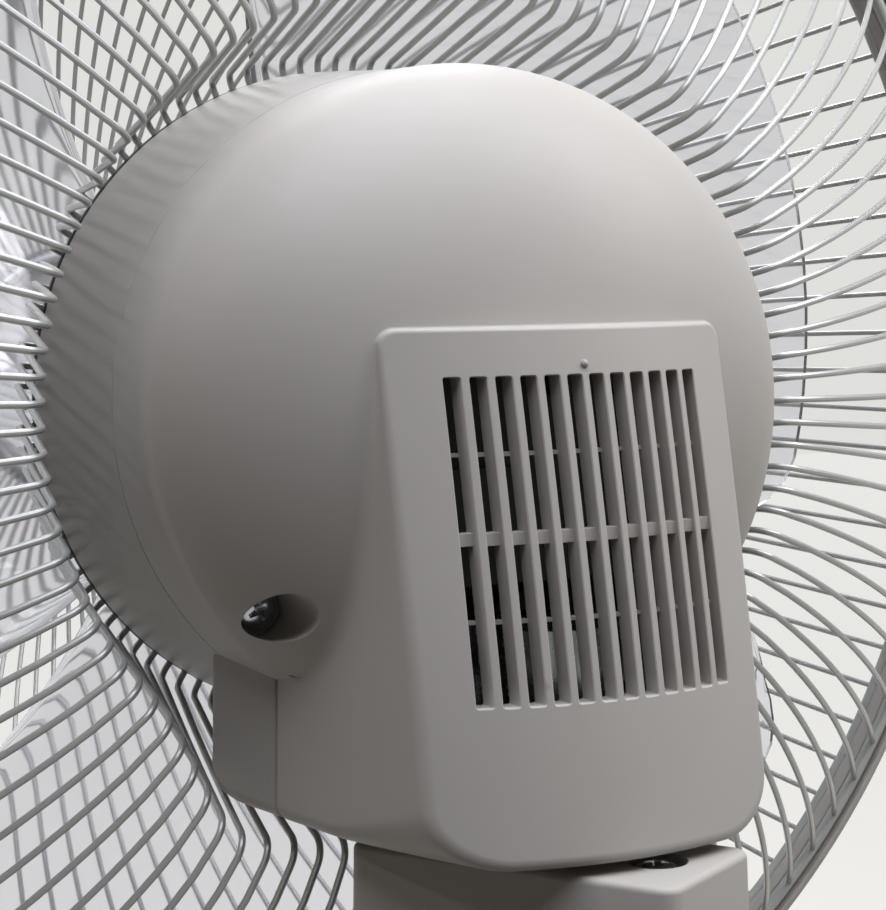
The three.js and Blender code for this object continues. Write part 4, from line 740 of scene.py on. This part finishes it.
# %% [markdown]
# ## Screws
# Tapping screws with a pan head and a cross recess. The cross is a hole in the head's patch, and its four arms
# slope down to a point. A boolean would cut the same shape, but with a rougher rim.

# %% Cross-head screws
HEAD_FLAT, HEAD_CROWN, SHANK = 0.96, 0.42, 1.9  # shares of the head's radius and height; radius


def screw(name, radius, height, length, place, body, node_name):
    """Pan head at z 0…height, shank below."""
    def dome(r):
        return height - HEAD_CROWN * height * (r / radius) ** 2.4

    shell = Shell()
    arm, slit, deep = radius * 0.56, radius * 0.13, height * 0.75
    cross = []
    for k in range(4):
        c, s = cos(k * pi / 2), sin(k * pi / 2)
        for x, y in ((slit * 1.35, -slit * 1.35), (arm, -slit * 0.8), (arm, slit * 0.8)):
            cross.append((x * c - y * s, x * s + y * c))
    rim = circle(radius * HEAD_FLAT, 40)
    full, thin = 1 / HEAD_FLAT, SHANK / radius / HEAD_FLAT
    grid = np.linspace(-radius, radius, 19)
    patch(shell, rim, [cross], [(u, v) for u in grid for v in grid],
          lambda u, v: (u, v, dome(hypot(u, v))), clearance=radius * 0.05)
    levels = ((dome(radius * HEAD_FLAT), 1), (height * 0.45, full), (0.15, full), (0, 1), (0, thin))
    shell.rows([lifted(rim, *where) for where in levels + ((-length, thin),)], wrap=True)
    shell.rows([[(u, v, dome(hypot(u, v))) for u, v in cross], lifted(cross, height - deep * 0.4, 0.9),
                lifted(cross, height - deep, 0.2), [(0, 0, height - deep)]], wrap=True)
    make(name, shell, place, body, node_name, "steel", steel, sharp=25)


for side, name in ((1, "left"), (-1, "right")):
    seat = (HEAD @ Matrix.Translation((side * SCREW_X, RECESS_FLOOR + 0.3, SCREW_Z))
            @ Matrix.Rotation(-pi / 2, 4, "X") @ Matrix.Rotation(0.5, 4, "Z"))
    screw(f"screw_{name}", 3.85, 2.6, 13.9, seat, "head", f"cover_screw_{name}")

# %% [markdown]
# ## Rear guard
# 108 steel wires, welded and painted. Each starts under the pod's front edge, bends backwards, climbs to a
# crest round the pod and falls in a long curve to the rim. Round the lower body the crest widens into a
# keyhole, so the wires differ. Bevelled curves would do too, but numpy works out all their rings in a moment.

# %% Wires
WIRE_SIDES = 10


def on_wheel(radius, degrees, y):
    a = radians(degrees)
    return (radius * cos(a), y, radius * sin(a))


def tube_rings(path, radius):
    """Points of the rings of a round wire along a path about the Y axis."""
    def unit(rows):
        return rows / np.linalg.norm(rows, axis=1)[:, None]

    path = np.array(path)
    along = unit(np.gradient(path, axis=0))
    across = unit(np.stack([-path[:, 2], np.zeros(len(path)), path[:, 0]], axis=1))
    across = unit(across - along * np.sum(across * along, axis=1)[:, None])
    up = np.cross(across, along)
    turns = np.arange(WIRE_SIDES) * 2 * pi / WIRE_SIDES
    rings = (path[:, None, :] + radius * (np.cos(turns)[None, :, None] * across[:, None, :]
                                          + np.sin(turns)[None, :, None] * up[:, None, :]))
    return rings.reshape(-1, 3)


def ring_of_wire(shell, radius, y, thick, count=180):
    rows = [[on_wheel(radius + thick * cos(a), d, y + thick * sin(a))
             for d in np.linspace(0, 360, count, endpoint=False)]
            for a in np.linspace(0, 2 * pi, 12, endpoint=False)]
    shell.rows(rows + rows[:1], wrap=True)


# %% Rear guard
GUARD_RADIUS, GUARD_REAR, WIRES, WIRE, RIM_WIRE = 187.0, -20.0, 108, 0.72, 1.6
CREST_RADIUS, CREST_DEPTH, ROOT_SWIRL = 85.0, 50.0, 4.8
WIRE_START, WIRE_BEND, WIRE_LEVEL = 66.5, 73.2, -1.6  # radii of the wire's straight start, and its depth
BEND_STEPS, FALL_STEPS, FALL_POWER = 7, 16, 1.54
KEYHOLE_ANGLE, KEYHOLE_SIDE, SIDE_ANGLE, KEYHOLE_BOTTOM, BOTTOM_BOW = 45, 80.4, 64.6, 91.5, 0.0022
ROOT_RING = [(24, -0.4), (69.9, -0.4), (69.9, -2.4), (24, -2.4), (24, -0.4)]


def crest_radius(degrees):
    """Radius of the crest: a circle, and below the pod the straight sides and bottom of the keyhole."""
    from_bottom = abs(((degrees + 630) % 360) - 180)
    if from_bottom >= KEYHOLE_ANGLE:
        return CREST_RADIUS
    side = KEYHOLE_SIDE / cos(radians(SIDE_ANGLE - from_bottom))
    across = side * sin(radians(from_bottom))
    bottom = (KEYHOLE_BOTTOM - BOTTOM_BOW * across * across) / cos(radians(from_bottom))
    return max(CREST_RADIUS, min(side, bottom))


def rear_wire(degrees):
    crest = sum(crest_radius(degrees + d) for d in (-3, -1.5, 0, 1.5, 3)) / 5
    bend = rounded([(WIRE_START, WIRE_LEVEL), (WIRE_BEND, WIRE_LEVEL), (crest - 2.4, CREST_DEPTH),
                    (crest + 6, CREST_DEPTH - 0.9)], [0, 3.0, 5.0, 0], BEND_STEPS)[:-1]
    climb = BEND_STEPS + 2  # first point after the straight climb
    low, high = Vector(bend[climb - 1]), Vector(bend[climb])
    bend = bend[:climb] + [tuple(low.lerp(high, t)) for t in (0.25, 0.5, 0.75)] + bend[climb:]
    path = [on_wheel(r, degrees + ROOT_SWIRL * (1 - clamped(y / CREST_DEPTH)), y) for r, y in bend]
    last = bend[-1][0]
    for k in range(1, FALL_STEPS + 1):
        r = last + (GUARD_RADIUS + 1.2 - last) * (k / FALL_STEPS) ** 0.9
        share = (r - crest) / (GUARD_RADIUS - crest)
        path.append(on_wheel(r, degrees, CREST_DEPTH - (CREST_DEPTH - GUARD_REAR) * share ** FALL_POWER))
    return tube_rings(path, WIRE)


rear = Shell()
turned(rear, rounded(ROOT_RING, 0.4, 2), count=120)
rear.tags = [1] * len(rear.tags)  # the ring that the wires are welded to takes the second finish: black, as painted shade of the gap between the pod and the wires
ring_of_wire(rear, GUARD_RADIUS, GUARD_REAR - 0.4, RIM_WIRE)
rear.tubes([rear_wire((i + 0.5) * 360 / WIRES) for i in range(WIRES)], WIRE_SIDES)
make("guard_rear_wires", rear, HEAD, "head", "rear_guard", "wire_paint", wire_paint, black_pp_painted_shade)

# %% [markdown]
# ## Front guard
# As many straight wires run from the badge ring over a deep dome to the rim. Their points lie closer together
# near the rim, where they bend most.

# %% Front guard
GUARD_FRONT, GUARD_NOSE, GUARD_BELLY = -29.0, -190.0, 3.2
BADGE_RADIUS, FRONT_WIRE, FRONT_STEPS = 38.0, 0.68, 44
BADGE_RING = BADGE_RADIUS - 3


def front_depth(radius):
    return GUARD_NOSE + (GUARD_FRONT - GUARD_NOSE) * (radius / GUARD_RADIUS) ** GUARD_BELLY


def front_wire(degrees):
    shares = [1 - (1 - t) ** 1.9 for t in spread(0, 1, FRONT_STEPS)]
    radii = [BADGE_RING + (GUARD_RADIUS + 0.6 - BADGE_RING) * share for share in shares]
    return tube_rings([on_wheel(r, degrees, front_depth(r)) for r in radii], FRONT_WIRE)


front = Shell()
ring_of_wire(front, BADGE_RING, front_depth(BADGE_RING), 1.6, 72)
ring_of_wire(front, GUARD_RADIUS, GUARD_FRONT + 0.4, RIM_WIRE)
front.tubes([front_wire((i + 0.15) * 360 / WIRES) for i in range(WIRES)], WIRE_SIDES)
make("guard_front_wires", front, HEAD, "head", "front_guard", "wire_paint", wire_paint)

# %% [markdown]
# ## Rim band and badge
# A plastic band holds the two guards together, with a rib between them. A blank badge closes the front guard's
# middle. Both are round, so a profile is drawn once and turned about the axis.

# %% Rim band
RIM_OUTER, RIM_INNER, RIM_RIB, RIB_REAR, RIB_FRONT = 190.9, 189.1, 3.2, -22.2, -26.8
RIM_REAR, RIM_FRONT = -18.2, -30.8
rim = Shell()
rim_profile = [(RIM_INNER, RIM_FRONT), (RIM_OUTER, RIM_FRONT), (RIM_OUTER, RIM_REAR), (RIM_INNER, RIM_REAR),
               (RIM_INNER, RIB_REAR), (RIM_INNER - RIM_RIB, RIB_REAR), (RIM_INNER - RIM_RIB, RIB_FRONT),
               (RIM_INNER, RIB_FRONT), (RIM_INNER, RIM_FRONT)]
turned(rim, rounded(rim_profile, [0, 0.7, 0.7, 0.5, 0, 0.5, 0.5, 0, 0], 4), count=240)
make("guard_rim_band", rim, HEAD, "head", "guard_rim", "pod_plastic", pod_abs)

# %% Badge
badge = Shell()
badge_back = front_depth(BADGE_RING) - 2.2
badge_profile = [(0, GUARD_NOSE - 5), (26, GUARD_NOSE - 4.6), (BADGE_RADIUS - 0.1, GUARD_NOSE - 3),
                 (BADGE_RADIUS - 0.1, badge_back), (0, badge_back)]
turned(badge, rounded(badge_profile, [0, 6, 0.9, 0.3, 0], 5))
make("front_badge_blank", badge, HEAD, "head", "front_badge", "pod_plastic", pod_abs)

# %% [markdown]
# ## Blade
# Three broad, deep blades on a hub, one clear moulding with a slight smoky tint. Each blade is a thin twisted
# sheet. A Solidify modifier would leave its edges square, so each section is drawn all the way round.

# %% Blade
BLADES, BLADE_RADIUS, BLADE_BACK, TRAVEL, TIP_SHARE, BLADE_REST = 3, 165.0, -24.0, 68.0, 0.55, 10.0
ROOT_SPAN, TIP_SPAN, SWEEP, CAMBER, HALF_THICK = 98.0, 104.0, 14.0, 3.0, 0.85
TIP_CORNER, CORNER_CHORD, CORNER_OUT = 14.0, 0.14, 0.2  # tip corners: size, share of the chord, of the length
HUB_RADIUS, HUB_FRONT, HUB_WALL, BORE = 36.0, -96.0, 3.0, 4.3


def blade_spot(turn, radius, chord, side):
    out = (radius - HUB_RADIUS) / (BLADE_RADIUS - HUB_RADIUS)
    degrees = turn + SWEEP * out * out + (ROOT_SPAN + (TIP_SPAN - ROOT_SPAN) * out) * (chord - 0.5)
    y = BLADE_BACK - TRAVEL * (1 - (1 - TIP_SHARE) * out) * chord - CAMBER * sin(pi * chord)
    thick = HALF_THICK * sqrt(max(0.0, 1 - (2 * chord - 1) ** 16))
    corner = max(0.0, abs(2 * chord - 1) - 1 + CORNER_CHORD) / CORNER_CHORD
    cut = TIP_CORNER * corner ** 2 * max(0, out - 1 + CORNER_OUT) / CORNER_OUT
    return on_wheel(radius - cut, degrees, y + side * thick)


blade = Shell()
chords = [0.5 - 0.5 * cos(pi * k / 30) for k in range(31)]
for i in range(BLADES):
    turn = BLADE_REST + i * 360 / BLADES
    sections = [[blade_spot(turn, radius, c, 1) for c in chords]
                + [blade_spot(turn, radius, c, -1) for c in chords[-2:0:-1]]
                for radius in spread(HUB_RADIUS - 1.5, BLADE_RADIUS - 0.3, 26)]
    blade.rows(sections, wrap=True)
    for section in (sections[0], sections[-1]):
        half = len(chords) - 1
        blade.rows([section[:half + 1], [section[0]] + section[:half:-1] + [section[half]]])
hub_back, web = BLADE_BACK + 2, HUB_FRONT + 10
hub_profile = [(BORE, HUB_FRONT), (30, HUB_FRONT), (HUB_RADIUS, HUB_FRONT + 8), (HUB_RADIUS, hub_back),
               (HUB_RADIUS - HUB_WALL, hub_back), (HUB_RADIUS - HUB_WALL, web), (10, web),
               (10, BLADE_BACK - 10), (BORE, BLADE_BACK - 10), (BORE, HUB_FRONT)]
turned(blade, rounded(hub_profile, [0, 2, 5, 0.6, 0.6, 1, 1, 0.5, 0.3, 0], 4))
make("fan_blade_moulding", blade, HEAD, "blade", "fan_blade", "blade_plastic", blade_clear, sharp=40)

# %% [markdown]
# ## Neck
# A rectangular moulded box that carries the head, 2 mm under the pod, with one screw in a round recess behind
# the swing axis. Rings of one rounded rectangle make its draught and its soft top edge in one skin.

# %% Neck
NECK_TOP = HEAD_HEIGHT - 79.3
NECK_BOTTOM, NECK_HALF, NECK_FRONT, NECK_REAR, NECK_FLARE = NECK_TOP - 74.7, 16.3, 41.4, 26.0, 1.4
NECK_CORNER, NECK_EDGE, NECK_WALL = 4.0, 1.3, 2.6
SCREW_BACK, NECK_RECESS, NECK_RECESS_DEPTH = 14.6, 5.3, 2.4


def neck_ring(z, inset):
    flare = NECK_FLARE * (NECK_TOP - z) / (NECK_TOP - NECK_BOTTOM)
    line = box_outline(NECK_HALF + flare - inset, (NECK_REAR + NECK_FRONT) / 2 + flare - inset,
                       max(NECK_CORNER - inset, 0.8), 8, (0, (NECK_REAR - NECK_FRONT) / 2))
    return lifted(line, z)


neck = Shell()
rings = [neck_ring(NECK_TOP - NECK_EDGE * (1 - sin(a)), NECK_EDGE * (1 - cos(a)))
         for a in spread(pi / 2, 0, 5)]
rings += [neck_ring(z, 0) for z in spread(NECK_TOP - NECK_EDGE, NECK_BOTTOM, 6)[1:]]
rings += [neck_ring(NECK_BOTTOM, NECK_WALL), neck_ring(NECK_TOP - 6, NECK_WALL)]
neck.rows(rings, wrap=True)
neck.cap(rings[-1])
patch(neck, [(x, y) for x, y, _ in rings[0]], [circle(NECK_RECESS + 0.3, 40, (0, SCREW_BACK))],
      field((-15, 16, 3), (-40, 26, 3)), level(NECK_TOP))
recess = [(NECK_RECESS + 0.3, NECK_TOP), (NECK_RECESS, NECK_TOP - 0.3),
          (NECK_RECESS, NECK_TOP - NECK_RECESS_DEPTH), (2.3, NECK_TOP - NECK_RECESS_DEPTH)]
turned(neck, recess, "z", 40, (0, SCREW_BACK))
for side in (-1, 1):
    low, high = sorted((side * 7.5, side * 15.2))  # cheeks that hold the tilt pin
    block(neck, (low, -12, NECK_BOTTOM), (high, 12, TILT_Z + 17))
make("neck_box", neck, STAND, "neck", "neck_shell", "pod_plastic", pod_abs)
seat = STAND @ Matrix.Translation((0, SCREW_BACK, NECK_TOP - 2.1)) @ Matrix.Rotation(0.3, 4, "Z")
screw("screw_neck", 3.9, 2.0, 12, seat, "neck", "neck_screw")

# %% [markdown]
# ## Pole and collar
# A painted steel tube, a chromed inner tube that slides in it, and a clamping collar. Tubes are turned with
# their wall, so that an end shows a real edge. The collar's grip grooves need rings of their own.

# %% Pole
POLE_RADIUS, POLE_BORE, POLE_FOOT, POLE_TOP = 16.0, 14.4, 5.3, 300.0
MAST_RADIUS, MAST_BORE, MAST_FOOT, CAP_TOP = 11.0, 9.7, 110, HEAD_HEIGHT - 172
CAP_BOTTOM = CAP_TOP - 14
tube = [(POLE_BORE, POLE_FOOT), (POLE_RADIUS, POLE_FOOT), (POLE_RADIUS, POLE_TOP), (POLE_BORE, POLE_TOP),
        (POLE_BORE, POLE_FOOT)]
outer_pole, inner_pole = Shell(), Shell()
turned(outer_pole, rounded(tube, 0.5, 3), "z", 72)
make("pole_outer_tube", outer_pole, STAND, "stand", "outer_pole", "pole_paint", pole_paint)
turned(inner_pole, [(MAST_BORE, MAST_FOOT), (MAST_RADIUS - 0.4, MAST_FOOT), (MAST_RADIUS, MAST_FOOT + 0.4)]
       + [(MAST_RADIUS, z) for z in spread(150, CAP_BOTTOM, 5)]
       + [(MAST_BORE, CAP_BOTTOM), (MAST_BORE, MAST_FOOT)], "z", 72)
make("pole_inner_tube", inner_pole, STAND, "mast", "inner_pole", "pole_chrome", chrome)

# %% Collar
COLLAR_RADIUS, COLLAR_LOW, COLLAR_HIGH = 22.0, POLE_TOP - 22, POLE_TOP + 8
GRIPS, GRIP_RADIUS = 8, 1.6


def collar_ring(radius, z, groove):
    """One ring of the collar; a groove of 1 is full depth."""
    ring = []
    for a in np.linspace(0, 2 * pi, 192, endpoint=False):
        off = abs((a * GRIPS / (2 * pi) + 0.5) % 1 - 0.5) * 2 * pi / GRIPS * COLLAR_RADIUS
        r = radius - groove * sqrt(max(0.0, GRIP_RADIUS ** 2 - off ** 2))
        ring.append((r * cos(a), r * sin(a), z))
    return ring


collar = Shell()
outside = rounded([(16.4, COLLAR_LOW), (20, COLLAR_LOW), (COLLAR_RADIUS, COLLAR_LOW + 3),
                   (COLLAR_RADIUS, COLLAR_HIGH - 4), (18, COLLAR_HIGH), (11.6, COLLAR_HIGH)],
                  [0, 1, 1.5, 2, 0.8, 0], 4)
rows = []
for r, z in outside:
    depth = clamped(min(z - COLLAR_LOW - 3, COLLAR_HIGH - 5 - z) / 2) if r > 19 else 0
    rows.append(collar_ring(r, z, depth))
    if abs(r - COLLAR_RADIUS) < 0.3 and COLLAR_LOW + 3.2 < z < COLLAR_LOW + 8:  # the grooved wall
        rows += [collar_ring(COLLAR_RADIUS, zz, clamped(min(zz - COLLAR_LOW - 4, COLLAR_HIGH - 6 - zz) / 1.5))
                 for zz in spread(z + 0.5, COLLAR_HIGH - 5.4, 14)]
rows += [collar_ring(r, z, 0) for r, z in ((11.6, POLE_TOP + 0.3), (16.4, POLE_TOP + 0.3), (16.4, COLLAR_LOW))]
collar.rows(rows, wrap=True)
make("pole_collar", collar, STAND, "collar", "height_collar", "dark_plastic", dark_abs, sharp=40)

# %% Pole head with the lug of the tilt joint
LUG_HALF, LUG_RADIUS, LUG_FOOT = 8.5, 13.0, TILT_Z - 9.5
lug = Shell()
cap_profile = [(0, CAP_BOTTOM + 0.3), (14, CAP_BOTTOM + 0.3), (14, CAP_TOP), (0, CAP_TOP)]
turned(lug, rounded(cap_profile, [0, 0.6, 1.6, 0], 4), "z", 72)
plug = [(0, CAP_BOTTOM - 20), (9.2, CAP_BOTTOM - 20), (9.4, CAP_BOTTOM - 19.5), (9.4, CAP_BOTTOM + 0.3)]
turned(lug, plug, "z", 48)
profile = ([(LUG_HALF, CAP_TOP - 0.5), (LUG_HALF, LUG_FOOT)]
           + [(LUG_RADIUS * cos(a), TILT_Z + LUG_RADIUS * sin(a))
              for a in spread(-0.78, pi + 0.78, 28)] + [(-LUG_HALF, LUG_FOOT), (-LUG_HALF, CAP_TOP - 0.5)])


def lug_side(x, scale):
    """The lug's outline at x, drawn in towards the pin where its edge is rounded."""
    return [(x, y * scale, TILT_Z + (z - TILT_Z) * scale if z > TILT_Z - 12 else z) for y, z in profile]


edge = ((7, 0.955), (6.6, 0.985), (6, 1))
lug.rows([lug_side(-x, scale) for x, scale in edge] + [lug_side(x, scale) for x, scale in reversed(edge)])
for x in (-7, 7):
    lug.cap(lug_side(x, 0.955))
make("pole_head_lug", lug, STAND, "mast", "pole_head", "pod_plastic", pod_abs)

# %% [markdown]
# ## Base
# A flat round moulding with a wide rounded shoulder, a socket for the pole and a pocket for the control panel.
# The shoulder is turned; the top is a patch with the pocket and the socket as holes.

# %% Base cover
BASE_RADIUS, BASE_Y, BASE_TOP, PLATE_TOP, SHOULDER = 150.0, -45.0, 32.0, 5.0, 26.0
PANEL_Y, PANEL_HALF_X, PANEL_HALF_Y, PANEL_TOP = -118.0, 52.0, 17.0, 32.4
SOCKET = 20.8


def panel_outline(grow):
    return box_outline(PANEL_HALF_X + grow, PANEL_HALF_Y + grow, PANEL_HALF_Y + grow, 16, (0, PANEL_Y))


base = Shell()
shoulder = [(BASE_RADIUS - SHOULDER * (1 - cos(a)), PLATE_TOP + 3 + (BASE_TOP - PLATE_TOP - 3) * sin(a))
            for a in spread(0, pi / 2, 18)]
turned(base, [(BASE_RADIUS - 2.6, PLATE_TOP + 6), (BASE_RADIUS - 2.6, PLATE_TOP + 0.3),
              (BASE_RADIUS - 0.4, PLATE_TOP + 0.3), (BASE_RADIUS, PLATE_TOP + 0.8)] + shoulder,
       "z", 192, (0, BASE_Y))
pocket = panel_outline(0.3)
patch(base, circle(shoulder[-1][0], 192, (0, BASE_Y)), [pocket, circle(SOCKET, 72)],
      field((-120, 121, 9), (-165, 80, 9)), level(BASE_TOP))
base.rows([lifted(pocket, z) for z in (BASE_TOP, BASE_TOP - 3)], wrap=True)
base.cap(lifted(pocket, BASE_TOP - 3))
socket = [(SOCKET, BASE_TOP), (20, BASE_TOP + 0.8), (20, BASE_TOP + 8), (16.3, BASE_TOP + 8),
          (16.3, BASE_TOP - 1)]
turned(base, rounded(socket, [0, 0.4, 1.2, 0.5, 0], 4), "z", 72)
make("base_cover_moulding", base, STAND, "stand", "base_cover", "pod_plastic", pod_abs)

# %% Control panel and buttons
BUTTON_RADIUS, BUTTON_PITCH = 6.0, 20.0
BUTTON_TOP, BUTTON_FLANGE, BUTTON_FOOT = PANEL_TOP + 1.4, 30.1, 28.5
button_xs = {name: (i - 1.5) * BUTTON_PITCH for i, name in enumerate(("power", "speed", "swing", "timer"))}
panel = Shell()
outer_line, full_line = panel_outline(-0.4), panel_outline(0)
holes = [circle(BUTTON_RADIUS + 0.5, 40, (x, PANEL_Y)) for x in button_xs.values()]
patch(panel, outer_line, holes, field((-50, 51, 5), (-134, -100, 4)), level(PANEL_TOP))
panel.rows([lifted(outer_line, PANEL_TOP)] + [lifted(full_line, PANEL_TOP - d) for d in (0.4, 2)], wrap=True)
for hole in holes:
    panel.rows([lifted(hole, z) for z in (PANEL_TOP, PANEL_TOP - 2)], wrap=True)
make("control_panel_plate", panel, STAND, "stand", "control_panel", "dark_plastic", dark_abs)
button_profile = [(0, BUTTON_FOOT), (8, BUTTON_FOOT), (8, BUTTON_FLANGE), (BUTTON_RADIUS, BUTTON_FLANGE),
                  (BUTTON_RADIUS, BUTTON_TOP), (4.6, BUTTON_TOP), (0, BUTTON_TOP - 0.5)]
for name, x in button_xs.items():
    cap = Shell()
    turned(cap, rounded(button_profile, [0, 0.2, 0.2, 0.2, 0.6, 1.5, 0], 4), "z", 48, (x, PANEL_Y))
    make(f"button_{name}", cap, STAND, name, f"{name}_button", "pod_plastic", pod_abs)

# %% [markdown]
# ## Pieces carried over from the CAD part
# Inner pieces keep their CAD meshes, which are right as they are, and get the finish of their material. The
# control board behind the grille instead gets black, as painted shade for the dark inside of the slots.

# %% Finishes on carried-over pieces
CARRIED = (
    (dark_abs, "motor_bracket motor_case guard_nut blade_nut base_plate power_inlet"),
    (steel, "front_bearing rear_bearing motor_rotor motor_shaft swing_motor swing_bracket pivot_post"),
    (steel, "retaining_ring tilt_pin"),
    (windings, "motor_stator"),
    # the control board behind the grille is black as painted shade, so that the slots look dark inside
    (black_pp_painted_shade, "control_board"),
    (nylon, "swing_pinion swing_gear thrust_washer pole_bush"),
    (iron, "base_weight"),
    (rubber, "foot_1 foot_2 foot_3 foot_4"),
    (circuit, "switch_board"))
for material, names in CARRIED:
    for name in names.split():
        for slot in frame["nodes"][name].material_slots:
            slot.material = material
print("carried over:", sum(len(names.split()) for _, names in CARRIED))

# %% [markdown]
# ## Studio
# A pale floor under a pale, even surround. The photo's light is a large soft one from above. A nearer lamp at
# the rear right lifts the grille's side, a small one at the left draws the wires' shadows on the band, and a
# broad one in front serves the other views. Light Path lifts only what the camera sees of floor and surround,
# because more light would bleach the fan.

# %% Floor
FLOOR_HALF, FLOOR_CELLS = 6.0, 12  # metres from the middle to the edge; cells along a side
FLOOR_GLOW = 0.81  # lifts the floor that is seen directly to the surround's tone
side = FLOOR_CELLS + 1
marks = [2 * FLOOR_HALF * i / FLOOR_CELLS - FLOOR_HALF for i in range(side)]
cells = [j * side + i for j in range(FLOOR_CELLS) for i in range(FLOOR_CELLS)]
floor_mesh = bpy.data.meshes.new("floor")
floor_mesh.from_pydata([(x, y, 0.0) for y in marks for x in marks], [],
                       [[k, k + 1, k + side + 1, k + side] for k in cells])
floor = bpy.data.objects.new("floor", floor_mesh)
bpy.context.collection.objects.link(floor)
floor_finish = finish("studio_floor", "#77726C", "#736E68", 0.7, cloud_mm=400, grain_mm=2, grain=0.02)


def seen_directly(tree):
    """1 for camera, glossy and transmission rays, 0 for the diffuse light that falls on the object."""
    path = node(tree, "ShaderNodeLightPath")
    both = node(tree, "ShaderNodeMath", links={0: (path, "Is Camera Ray"), 1: (path, "Is Glossy Ray")},
                operation="MAXIMUM")
    return node(tree, "ShaderNodeMath", links={0: (both, 0), 1: (path, "Is Transmission Ray")},
                operation="MAXIMUM")


tree = floor_finish.node_tree
glow = node(tree, "ShaderNodeMath", {1: FLOOR_GLOW}, {0: (seen_directly(tree), 0)}, operation="MULTIPLY")
shader = tree.nodes["Principled BSDF"]
shader.inputs["Emission Color"].default_value = linear("#F2F2EF")
tree.links.new(glow.outputs[0], shader.inputs["Emission Strength"])
floor_mesh.materials.append(floor_finish)
print("floor:", 2 * FLOOR_HALF, "m across")

# %% Surround
world = bpy.data.worlds.new("studio")
bpy.context.scene.world = world
world.use_nodes = True
tree = world.node_tree
tree.nodes.clear()
fill_light = node(tree, "ShaderNodeBackground", {"Color": linear("#EFDDCA"), "Strength": 0.02})
shown = node(tree, "ShaderNodeBackground", {"Color": linear("#E0E0DC"), "Strength": 1.0})
mixed = node(tree, "ShaderNodeMixShader",
             links={0: (seen_directly(tree), 0), 1: (fill_light, 0), 2: (shown, 0)})
node(tree, "ShaderNodeOutputWorld", links={"Surface": (mixed, 0)})

# %% Lamps
# name, size in metres, watts, metres from the head, colour
LAMPS = (("overhead", 1.2, 15.8, (0.03, 0.2, 0.8), "#F1F5FF"),
         ("rear_right", 0.5, 4.2, (-0.55, 0.36, 0.5), "#FFFFFF"),
         ("left", 0.08, 1.5, (1.2, -0.25, 0.9), "#FFF4EA"),
         ("front", 1.0, 22.0, (-0.5, -1.3, 1.3), "#FFFFFF"))
for name, size, power, offset, colour in LAMPS:
    data = bpy.data.lights.new(name, "AREA")
    data.shape, data.size, data.energy, data.color = "DISK", size, power, linear(colour)[:3]
    lamp = bpy.data.objects.new(name, data)
    bpy.context.collection.objects.link(lamp)
    lamp.location = head_at + Vector(offset)
    lamp.rotation_mode = "QUATERNION"
    lamp.rotation_quaternion = (-Vector(offset)).to_track_quat("-Z", "Y")
print("lamps:", len(LAMPS))

# %% [markdown]
# ## Camera
# The camera's place, direction and focal length were solved from the photo: the pod's ellipses, the guard's
# crest and the recess circles. Yaw, pitch and roll are in the head's frame.

# %% Camera
YAW, PITCH, ROLL = (radians(v) for v in (26.58, 4.26, -0.89))
FOCAL_PX, LONG_SIDE_PX, SENSOR = 2200.0, 910.0, 36.0
CAMERA_AT = Vector((197.23, 441.89, 22.11))  # millimetres from the head's origin
forward = Vector((-sin(YAW) * cos(PITCH), -cos(YAW) * cos(PITCH), -sin(PITCH)))
right = forward.cross(Vector((0, 0, 1))).normalized()
upward = right.cross(forward)
right, upward = right * cos(ROLL) + upward * sin(ROLL), upward * cos(ROLL) - right * sin(ROLL)
camera_data = bpy.data.cameras.new("camera")
camera_data.lens, camera_data.sensor_width = FOCAL_PX * SENSOR / LONG_SIDE_PX, SENSOR
camera_data.clip_start, camera_data.clip_end = 0.01, 100
camera = bpy.data.objects.new("camera", camera_data)
bpy.context.collection.objects.link(camera)
turn = Matrix((right, upward, -forward)).transposed().to_4x4()
camera.matrix_world = Matrix.Translation(HEAD @ CAMERA_AT) @ turn
bpy.context.scene.camera = camera
bpy.context.scene.view_settings.view_transform = "Standard"
print("camera at", tuple(round(c, 4) for c in camera.location), "lens", round(camera_data.lens, 2))
